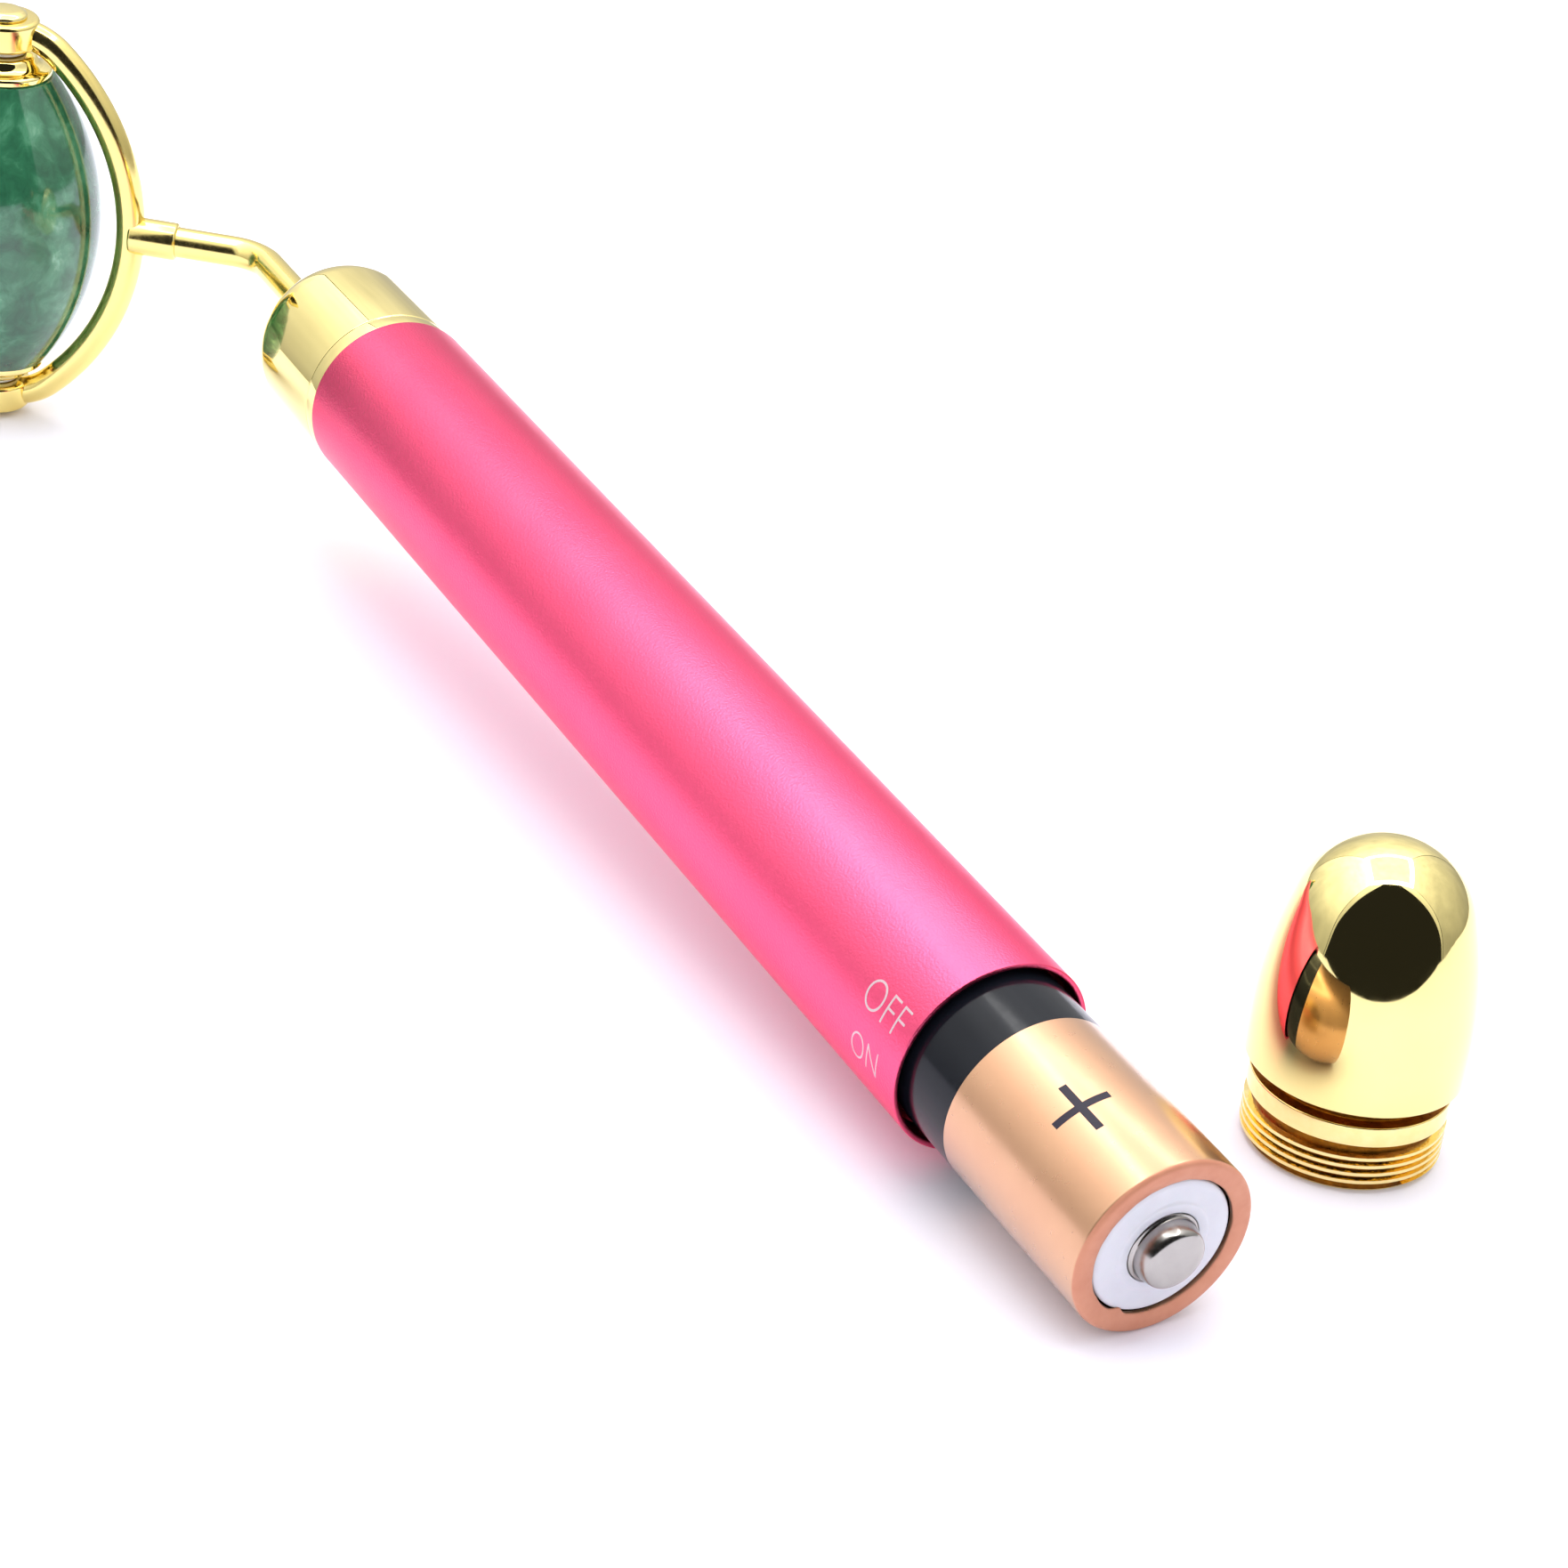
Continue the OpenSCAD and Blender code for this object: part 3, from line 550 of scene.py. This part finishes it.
# The stone and what it turns on. Heights are along its axis, from its middle.
stone = {"radius": 9.8, "half": 14.8, "curve": 25.0, "edge": 0.5, "bore": 1.5, "bushRadius": 2.12, "bush": 4.0}
fittings = {"ferruleRadius": 4.7, "ferrule": 2.0, "ferruleRim": 0.7, "ferruleStep": 1.05, "stepIn": 1.2, "necking": 1.6,
            "hole": 1.05, "washerIn": 16.92, "washer": 0.5, "washerRadius": 2.2, "axleRadius": 1.0, "rivetRadius": 2.2,
            "rivet": 0.7, "rivetRim": 0.3, "rivetIn": 0.55}


def bothEnds(name, outline, finish, node, closed=True):
    bm = bmesh.new()
    for side in (Matrix.Identity(4), otherEnd):
        part = bmesh.new()
        turn(part, outline, closed=closed, steps=smallSteps)
        addPart(bm, part, side)
    finishPiece(name, bm, atStone, [finish], node)


def makeStone():
    bm = bmesh.new()
    s = stone
    endAngle = math.degrees(math.asin(s["half"] / s["curve"]))
    endRadius = s["radius"] - s["curve"] + s["curve"] * math.cos(math.radians(endAngle))
    turn(bm, [(s["bushRadius"], s["bush"] - s["half"]), (s["bushRadius"], -s["half"], 0.1),
              (endRadius, -s["half"]), ("arc", s["radius"] - s["curve"], 0, 2 * endAngle),
              (s["bushRadius"], s["half"], 0.1), (s["bushRadius"], s["half"] - s["bush"]),
              (s["bore"], s["half"] - s["bush"]), (s["bore"], s["bush"] - s["half"])], closed=True)
    finishPiece("jade_barrel", bm, atStone, ["jade"], "roller_stone")


def makeStoneFittings():
    f = fittings
    seat = stone["half"] + snug
    bothEnds("gold_ferrules", [(f["hole"], seat), (f["ferruleRadius"], seat, 0.15),
                               (f["ferruleRadius"], seat + f["ferruleRim"], 0.25),
                               (f["ferruleRadius"] - f["stepIn"], seat + f["ferruleStep"], 0.5),
                               (f["ferruleRadius"] - f["necking"], seat + f["ferrule"], 0.3),
                               (f["hole"], seat + f["ferrule"], 0.1)],
             "gold", "stone_ferrules")
    bush = stone["bushRadius"] - snug
    bothEnds("nylon_bushes", [(f["hole"], stone["half"] - stone["bush"]), (bush, stone["half"] - stone["bush"]),
                              (bush, stone["half"]), (f["hole"], stone["half"])],
             "nylon", "stone_bushes")
    bothEnds("nylon_washers", [(f["hole"], f["washerIn"]), (f["washerRadius"], f["washerIn"], 0.08),
                               (f["washerRadius"], f["washerIn"] + f["washer"], 0.08),
                               (f["hole"], f["washerIn"] + f["washer"])],
             "nylon", "axle_washers")
    bothEnds("gold_rivets", [(0, bow["eyeOut"]), (f["rivetRadius"], bow["eyeOut"], 0.12),
                             (f["rivetRadius"], bow["eyeOut"] + f["rivetRim"], 0.15),
                             (f["rivetRadius"] - f["rivetIn"], bow["eyeOut"] + f["rivet"], 0.35),
                             (0, bow["eyeOut"] + f["rivet"])],
             "gold", "axle_rivets", closed=False)
    bm = bmesh.new()
    turn(bm, [(0, -bow["eyeOut"]), (f["axleRadius"], -bow["eyeOut"]), (f["axleRadius"], bow["eyeOut"]),
              (0, bow["eyeOut"])], steps=64)
    finishPiece("steel_axle", bm, atStone, ["steel"], "roller_axle")


makeStone()
makeStoneFittings()
print("stone and its fittings made")


# The battery. Heights run from its positive rim towards the head.
battery = {"radius": 7.1, "length": 48.5, "out": 21.9, "copperEnd": 16.6, "lipIn": 5.55, "lipTurn": 0.45, "lip": 0.6,
           "sleeve": 0.3, "endLip": 0.7, "canTop": 1.3, "canStep": 0.35, "sealDepth": 0.12, "sealRadius": 5.42,
           "sealStep": 0.1, "sealGap": 0.3, "sealRing": 0.95, "sealShift": (0.09, -0.09), "nubRadius": 2.55,
           "nubFlange": 0.28, "nubFlat": 1.95, "nubRound": 0.5, "nub": 1.5, "wave": {"scale": 0.9, "depth": 0.07},
           "pucker": {"angle": -151.0, "spread": 6.0, "depth": 0.4}}
plus = {"x": 13.72, "arc": -2.87, "long": 4.7, "across": 4.5, "stroke": 0.62, "proud": 0.008, "sunk": 0.02,
        "slice": 0.25}


def makeBattery():
    b = battery
    place = onTube(-b["out"])
    inner = b["radius"] - b["sleeve"]
    bm = bmesh.new()
    turn(bm, [(b["lipIn"], 0.16, 0.08), (b["lipIn"] + 0.5, 0.02, 0.2), (b["radius"], 0, b["lipTurn"]),
              (b["radius"], b["copperEnd"] - snug), (b["radius"], b["copperEnd"] + snug),
              (b["radius"], b["length"], 0.4), (b["radius"] - b["endLip"], b["length"], 0.08),
              (b["radius"] - b["endLip"], b["length"] - 0.3), (inner, b["length"] - 0.5), (inner, b["lip"]),
              (b["lipIn"], b["lip"], 0.1)], closed=True)
    for vert in bm.verts:
        radius = math.hypot(vert.co.x, vert.co.y)
        if radius < b["lipIn"] + 0.3 and vert.co.z < 0.5:
            # the shrunk edge wavers, and folds over itself in one place
            away = math.remainder(math.degrees(math.atan2(vert.co.y, vert.co.x)) - b["pucker"]["angle"], 360)
            fold = b["pucker"]["depth"] * math.exp(-(away / b["pucker"]["spread"]) ** 2)
            wave = b["wave"]["depth"] * noise.noise(Vector((vert.co.x, vert.co.y, 0)) * b["wave"]["scale"]) - fold
            vert.co.x *= 1 + wave / radius
            vert.co.y *= 1 + wave / radius
    paint(bm, 1, lambda radius, height: height > b["copperEnd"])
    paint(bm, 2, lambda radius, height: height < b["lipTurn"] * 0.7 and radius < b["radius"] - 0.05)
    finishPiece("battery_sleeve", bm, place, ["copper", "black", "lip"], "battery_jacket")
    bm = bmesh.new()
    canRadius = inner - snug
    step = b["length"] - b["canStep"]
    turn(bm, [(0, b["canTop"]), (canRadius, b["canTop"]), (canRadius, b["length"] - 0.7), (canRadius - 0.6, step, 0.3),
              (canRadius - 1.4, step, 0.2), (canRadius - 1.9, b["length"], 0.2), (0, b["length"])])
    finishPiece("battery_steel_can", bm, place, ["nickel"], "battery_can")
    bm = bmesh.new()
    # the pale disc steps up to a low ring round the nub
    hole = b["nubRadius"] + b["sealGap"]
    ring = b["nubRadius"] + b["sealRing"]
    ringFace = b["sealDepth"] - 0.05
    discFace = b["sealDepth"] + b["sealStep"]
    turn(bm, [(hole, ringFace, 0.06), (ring, ringFace, 0.1), (ring + 0.2, discFace, 0.1),
              (b["sealRadius"] - 0.3, discFace, 0.2), (b["sealRadius"], b["sealDepth"] + 0.25, 0.15),
              (b["sealRadius"], b["canTop"]), (hole, b["canTop"])], closed=True)
    finishPiece("seal_ring", bm, place @ move(*b["sealShift"], 0), ["seal"], "battery_seal")
    bm = bmesh.new()
    # the nub tapers a little and its top rounds over to a flat
    flange = b["nubRadius"] + b["nubFlange"]
    turn(bm, [(0, b["canTop"]), (flange, b["canTop"]), (flange, b["sealDepth"] + 0.02, 0.08),
              (b["nubRadius"] + 0.02, b["sealDepth"] - 0.1, 0.1),
              (b["nubRadius"] - 0.06, -b["nub"] / 2, b["nubRound"]),
              (b["nubFlat"] + 0.27, -b["nub"], b["nubRound"]), (0, -b["nub"])])
    finishPiece("positive_nub", bm, place, ["nickel"], "battery_nub")


def makePlus():
    # a three by three grid whose corners are taken out
    bm = bmesh.new()
    bmesh.ops.create_grid(bm, x_segments=3, y_segments=3, size=1.5)
    for vert in bm.verts:
        for axis, reach in ((0, plus["long"] / 2), (1, plus["across"] / 2)):
            sign = math.copysign(1, vert.co[axis])
            vert.co[axis] = sign * (reach if abs(vert.co[axis]) > 1 else plus["stroke"] / 2)
    corners = [f for f in bm.faces if abs(f.calc_center_median().x) > plus["stroke"]
               and abs(f.calc_center_median().y) > plus["stroke"]]
    bmesh.ops.delete(bm, geom=corners, context="FACES")
    cuts = int(plus["across"] / 2 / plus["slice"])
    for k in range(-cuts, cuts + 1):
        bmesh.ops.bisect_plane(bm, geom=bm.verts[:] + bm.edges[:] + bm.faces[:],
                               plane_co=(0, k * plus["slice"], 0), plane_no=(0, 1, 0))
    grown = bmesh.ops.extrude_face_region(bm, geom=bm.faces[:])["geom"]
    bmesh.ops.translate(bm, vec=(0, 0, plus["proud"]), verts=[g for g in grown if isinstance(g, bmesh.types.BMVert)])
    for vert in bm.verts:
        if vert.co.z <= 0:
            vert.co.z = -plus["sunk"]
    wrapOnTube(bm, battery["radius"], -plus["x"], plus["arc"])
    bmesh.ops.recalc_face_normals(bm, faces=bm.faces[:])
    finishPiece("plus_mark", bm, onTube(0), ["ink"], "battery_jacket", replace=False)


makeBattery()
makePlus()
print("battery made")


# The twist cap, from its foot up
cap = {"dome": 8.1, "height": 24.9, "base": 6.95, "straight": 9.55, "sideArc": 35.0, "tipRadius": 6.7625,
       "root": 6.95, "crest": 7.45, "undercut": 6.42, "shoulderBase": 4.05, "shoulderTop": 5.65, "bore": 6.2,
       "boreDeep": 13.6, "pitch": 0.65, "threadStart": 0.42, "threadTurns": 4.5, "ridgeTop": 0.13, "ridgeFlank": 0.22,
       "ridgeFoot": 0.26}
capInsides = {"insertBase": 2.4, "insertTop": 13.3, "insertRadius": 6.1, "insertIn": 4.6, "lipHole": 2.8, "lip": 1.1,
              "tipBase": 1.0, "tipRadius": 2.5, "flangeBase": 3.55, "flange": 0.8, "flangeRadius": 4.4, "wire": 0.5,
              "turns": 4.5, "seat": 0.05, "travel": 1.5}


def makeCap():
    bm = bmesh.new()
    c = cap
    tipCentre = c["height"] - c["tipRadius"]
    lean = math.degrees(math.atan2(tipCentre - c["straight"], c["sideArc"] - c["dome"]))
    turn(bm, [(0, c["boreDeep"]), (c["bore"], c["boreDeep"]), (c["bore"], 0, 0.12), (c["root"], 0, 0.12),
              (c["root"], c["shoulderBase"] - 0.1), (c["crest"], c["shoulderBase"], 0.08),
              (c["crest"], c["shoulderTop"], 0.12), (c["undercut"], c["shoulderTop"] + 0.02, 0.15),
              (c["undercut"], c["base"], 0.15), (c["dome"], c["base"], 0.14), (c["dome"], c["straight"]),
              ("arc", c["dome"] - c["sideArc"], c["straight"], lean), ("arc", 0, tipCentre, 90 - lean)])
    buried, flank = c["root"] - 0.2, c["root"] + 0.1
    windThread(bm, [(buried, -c["ridgeFoot"]), (flank, -c["ridgeFlank"]), (c["crest"], -c["ridgeTop"]),
                    (c["crest"], c["ridgeTop"]), (flank, c["ridgeFlank"]), (buried, c["ridgeFoot"])],
               c["threadStart"], c["pitch"], c["threadTurns"], c["root"] - 0.05)
    # thread plating below the dome, and painted shade (dark brown brass) in the thread's root and in the groove above
    # the shoulder
    near = 0.05
    paint(bm, 1, lambda radius, height: height < c["base"] - near)
    paint(bm, 2, lambda radius, height: abs(radius - c["root"]) < snug and 0.2 < height < c["shoulderBase"] - 0.1)
    paint(bm, 2, lambda radius, height: c["shoulderTop"] - near < height < c["base"] - snug
          and radius < c["crest"] - 0.1)
    paint(bm, 0, lambda radius, height: c["base"] - near < height and radius > c["crest"])
    finishPiece("gold_cap", bm, atCap(0), ["gold", "goldThread", "groove"], "cap_shell")


def makeCapInsides():
    bm = bmesh.new()
    i = capInsides
    turn(bm, [(i["lipHole"], i["insertBase"], 0.15), (i["insertRadius"], i["insertBase"], 0.2),
              (i["insertRadius"], i["insertTop"], 0.2), (0, i["insertTop"]), (0, i["insertTop"] - i["lip"]),
              (i["insertIn"], i["insertTop"] - i["lip"]), (i["insertIn"], i["insertBase"] + i["lip"]),
              (i["lipHole"], i["insertBase"] + i["lip"])], steps=smallSteps)
    finishPiece("nylon_insert", bm, atCap(0), ["nylon"], "cap_insert")
    bm = bmesh.new()
    turn(bm, [(0, i["tipBase"]), (i["tipRadius"], i["tipBase"], 0.5), (i["tipRadius"], i["flangeBase"]),
              (i["flangeRadius"], i["flangeBase"], 0.1), (i["flangeRadius"], i["flangeBase"] + i["flange"], 0.1),
              (0, i["flangeBase"] + i["flange"])], steps=smallSteps)
    finishPiece("brass_contact", bm, atCap(0), ["brass"], "cap_contact")
    bm = bmesh.new()
    low = i["flangeBase"] + i["flange"] + i["seat"]
    coil = i["flangeRadius"] - 0.5
    length = i["insertTop"] - i["lip"] - low
    windCoil(bm, coil, coil, length, i["turns"], i["wire"])
    spring = finishPiece("cap_coil", bm, atCap(low), ["springWire"], "cap_spring")
    pressSpring(spring)


makeCap()
makeCapInsides()
print("cap made")


# What shows up the tube when the battery is out
negative = {"face": 55.8, "radius": 3.5, "thick": 0.8, "springTop": 61.6, "lowRadius": 2.9, "highRadius": 5.6,
            "wire": 0.5, "turns": 4.5, "travel": 2.5}


def makeNegativeEnd():
    n = negative
    bm = bmesh.new()
    turn(bm, [(0, 0), (n["radius"], 0, 0.2), (n["radius"], n["thick"], 0.1), (0, n["thick"])], steps=smallSteps)
    finishPiece("negative_disc", bm, onTube(n["face"]), ["brass"], "negative_contact")
    bm = bmesh.new()
    start = n["face"] + n["thick"]
    length = n["springTop"] - start
    windCoil(bm, n["lowRadius"], n["highRadius"], length, n["turns"], n["wire"])
    spring = finishPiece("negative_coil", bm, onTube(start), ["springWire"], "negative_spring")
    pressSpring(spring)


makeNegativeEnd()


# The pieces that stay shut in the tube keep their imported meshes
innerFinishes = {"motor_cradle": "nylon", "motor_can": "steel", "motor_end_cap": "abs", "motor_terminals": "brass",
                 "lead_wires": "pvc", "contact_base": "nylon", "motor_shaft": "steel", "eccentric_weight": "steel"}
for node, key in innerFinishes.items():
    innerMesh = frame["nodes"][node].data
    if not innerMesh.materials:
        innerMesh.materials.append(finishes[key])
    for number in range(len(innerMesh.materials)):
        innerMesh.materials[number] = finishes[key]
print("inner pieces finished")


# The light tent: a cloth box on a white sheet, open at the front, with a strip of lamps round its roof
tent = {
    "middle": (-106.0, 98.5),   # millimetres, as all its sizes
    "turned": 57.6,             # degrees
    "half": 227.0,
    "height": 542.0,
    "apron": 27.0,              # how far the sheet comes out of the front
    "strip": 50.0,
    "seam": 3.0,
    # half the width that the flaps leave open, and at what share of the height
    "flap": ((85, 1.0), (95, 0.8), (120, 0.6), (150, 0.4), (190, 0.15), (215, 0.0)),
    # side, light at the foot and at the top, and how late it rises
    "walls": ((0, 0.4, 1.7, 1.0), (90, 0.6, 2.2, 1.4), (180, 0.5, 3.2, 0.85)),
    "flaps": (0.6, 1.8, 1.0),
    "roof": 2.0,
    "lamps": 7.0,
    "room": 0.02,
    "backdrop": 1.6,
    "fill": 3.4,                # soft light that only dull surfaces take up
    "fillSpread": 160.0,        # degrees
    "folds": {"size": 70.0, "dark": 0.75, "bright": 1.25},
}
# white acrylic sheet: flat, pale, with almost no shine
sheetLook = {"name": "whiteTableSheet", "colours": ("#EEEDFA", "#F2F1FC"), "cloud": 40.0, "roughness": (0.55, 0.65),
             "grain": 3.0, "relief": [], "shader": {"Specular IOR Level": 0.2}}
tentPlace = move(*tent["middle"], floorHeight) @ spinZ(tent["turned"])


def stagePiece(name, bm, material):
    bmesh.ops.transform(bm, matrix=Matrix.Scale(mm, 4) @ tentPlace, verts=bm.verts[:])
    mesh = bpy.data.meshes.new(name)
    bm.to_mesh(mesh)
    bm.free()
    mesh.materials.append(material)
    piece = bpy.data.objects.new(name, mesh)
    bpy.context.scene.collection.objects.link(piece)
    return piece


def makeGlow(name, low, high, rising=1.0):
    # cloth or lamps that shine: brighter towards the roof, with soft folds
    material = bpy.data.materials.new(name)
    material.use_nodes = True
    tree = material.node_tree
    tree.nodes.clear()
    coords = addNode(tree, "ShaderNodeTexCoord").outputs["Object"]
    split = addNode(tree, "ShaderNodeSeparateXYZ", {"Vector": coords})
    top = (floorHeight + tent["height"]) * mm
    rise = addNode(tree, "ShaderNodeMapRange", {"Value": split.outputs["Z"], "From Min": floorHeight * mm,
                                                "From Max": top})
    falloff = addNode(tree, "ShaderNodeMath", {0: rise.outputs["Result"], 1: rising}, operation="POWER")
    light = addNode(tree, "ShaderNodeMapRange", {"Value": falloff.outputs[0], "To Min": low, "To Max": high})
    folds = tent["folds"]
    lumps = addNode(tree, "ShaderNodeTexNoise", {"Vector": coords, "Scale": 1 / (folds["size"] * mm), "Detail": 2.0})
    shade = addNode(tree, "ShaderNodeMapRange", {"Value": lumps.outputs["Fac"], "To Min": folds["dark"],
                                                 "To Max": folds["bright"]})
    shaded = addNode(tree, "ShaderNodeMath", {0: light.outputs["Result"], 1: shade.outputs["Result"]},
                     operation="MULTIPLY")
    glow = addNode(tree, "ShaderNodeEmission", {"Color": (1, 1, 1, 1), "Strength": shaded.outputs[0]})
    addNode(tree, "ShaderNodeOutputMaterial", {"Surface": glow.outputs[0]})
    return material


def makeTent():
    t = tent
    half, top = t["half"], t["height"]
    bm = bmesh.new()
    bmesh.ops.create_grid(bm, x_segments=1, y_segments=1, size=half)
    bmesh.ops.translate(bm, vec=(0, -t["apron"], 0), verts=[v for v in bm.verts if v.co.y < 0])
    stagePiece("table", bm, makeFinish(sheetLook))
    # three walls stand on the sheet's edges, a seam apart from each other and from the roof
    pieces = []
    for side, *light in t["walls"]:
        bm = bmesh.new()
        stand = spinZ(side) @ move(half, 0, (top - t["seam"]) / 2) @ spinZ(90) @ Matrix.Rotation(math.pi / 2, 4, "X")
        bmesh.ops.create_grid(bm, x_segments=1, y_segments=1, size=1)
        bmesh.ops.scale(bm, vec=(half - t["seam"], (top - t["seam"]) / 2, 1), verts=bm.verts[:])
        bmesh.ops.transform(bm, matrix=stand, verts=bm.verts[:])
        pieces.append(stagePiece("tent_wall_" + str(side), bm, makeGlow("litTentCloth", *light)))
    bm = bmesh.new()
    bmesh.ops.create_grid(bm, x_segments=1, y_segments=1, size=half - t["strip"], matrix=move(0, 0, top))
    pieces.append(stagePiece("tent_roof", bm, makeGlow("litRoofCloth", t["roof"], t["roof"])))
    bm = bmesh.new()
    bmesh.ops.create_grid(bm, x_segments=1, y_segments=1, size=half, matrix=move(0, 0, top))
    bmesh.ops.inset_region(bm, faces=bm.faces[:], thickness=t["strip"], use_boundary=True, use_even_offset=True)
    middle = max(bm.faces, key=lambda face: face.calc_area())
    bmesh.ops.delete(bm, geom=[middle], context="FACES_ONLY")
    pieces.append(stagePiece("tent_lamps", bm, makeGlow("lampStrip", t["lamps"], t["lamps"])))
    # the cloth on either side of the opening hangs from the roof's corners
    bm = bmesh.new()
    for side in (-1, 1):
        corners = [(half, 1), *t["flap"], (half, 0)]
        bm.faces.new([bm.verts.new((side * x, -half, share * top)) for x, share in corners])
    pieces.append(stagePiece("tent_flaps", bm, makeGlow("litFlapCloth", *t["flaps"])))
    for piece in pieces:
        piece.visible_camera = False
        piece.visible_shadow = False
    # the light that fills the shadows
    sky = bpy.data.lights.new("softFill", "SUN")
    sky.energy = t["fill"]
    sky.angle = math.radians(t["fillSpread"])
    holder = bpy.data.objects.new("softFill", sky)
    holder.visible_glossy = False
    bpy.context.scene.collection.objects.link(holder)


def makeRoom():
    # the dark room that the open front shows, and the white that the camera sees over the sheet
    world = bpy.data.worlds.new("room")
    world.use_nodes = True
    bpy.context.scene.world = world
    tree = world.node_tree
    tree.nodes.clear()
    path = addNode(tree, "ShaderNodeLightPath")
    light = addNode(tree, "ShaderNodeMapRange", {"Value": path.outputs["Is Camera Ray"], "To Min": tent["room"],
                                                 "To Max": tent["backdrop"]})
    glow = addNode(tree, "ShaderNodeBackground", {"Color": (1, 1, 1, 1), "Strength": light.outputs["Result"]})
    addNode(tree, "ShaderNodeOutputWorld", {"Surface": glow.outputs[0]})


makeTent()
makeRoom()


# The camera, where the photograph was taken from
camera = {
    "place": (167.616, -127.0, 130.224),                        # millimetres
    "azimuth": 2.57248, "dip": 0.48454, "roll": 0.11169,        # radians
    "focal": 80.206, "sensor": 36.0,                            # millimetres
    "near": 5.0,                                                # what is closer than this isn't drawn
}


def makeCamera():
    az, dip, roll = camera["azimuth"], camera["dip"], camera["roll"]
    forward = Vector((math.cos(dip) * math.cos(az), math.cos(dip) * math.sin(az), -math.sin(dip)))
    level = forward.cross(Vector((0, 0, 1))).normalized()
    upright = level.cross(forward)
    right = math.cos(roll) * level + math.sin(roll) * upright
    top = math.cos(roll) * upright - math.sin(roll) * level
    turned = Matrix((right, top, -forward)).transposed().to_4x4()
    data = bpy.data.cameras.new("photoCamera")
    data.sensor_width = camera["sensor"]
    data.lens = camera["focal"]
    data.clip_start = camera["near"] * mm
    holder = bpy.data.objects.new("photoCamera", data)
    holder.matrix_world = Matrix.Translation(Vector(camera["place"]) * mm) @ turned
    bpy.context.scene.collection.objects.link(holder)
    bpy.context.scene.camera = holder


makeCamera()
bpy.context.scene.view_settings.view_transform = "Standard"

print("scene ready")
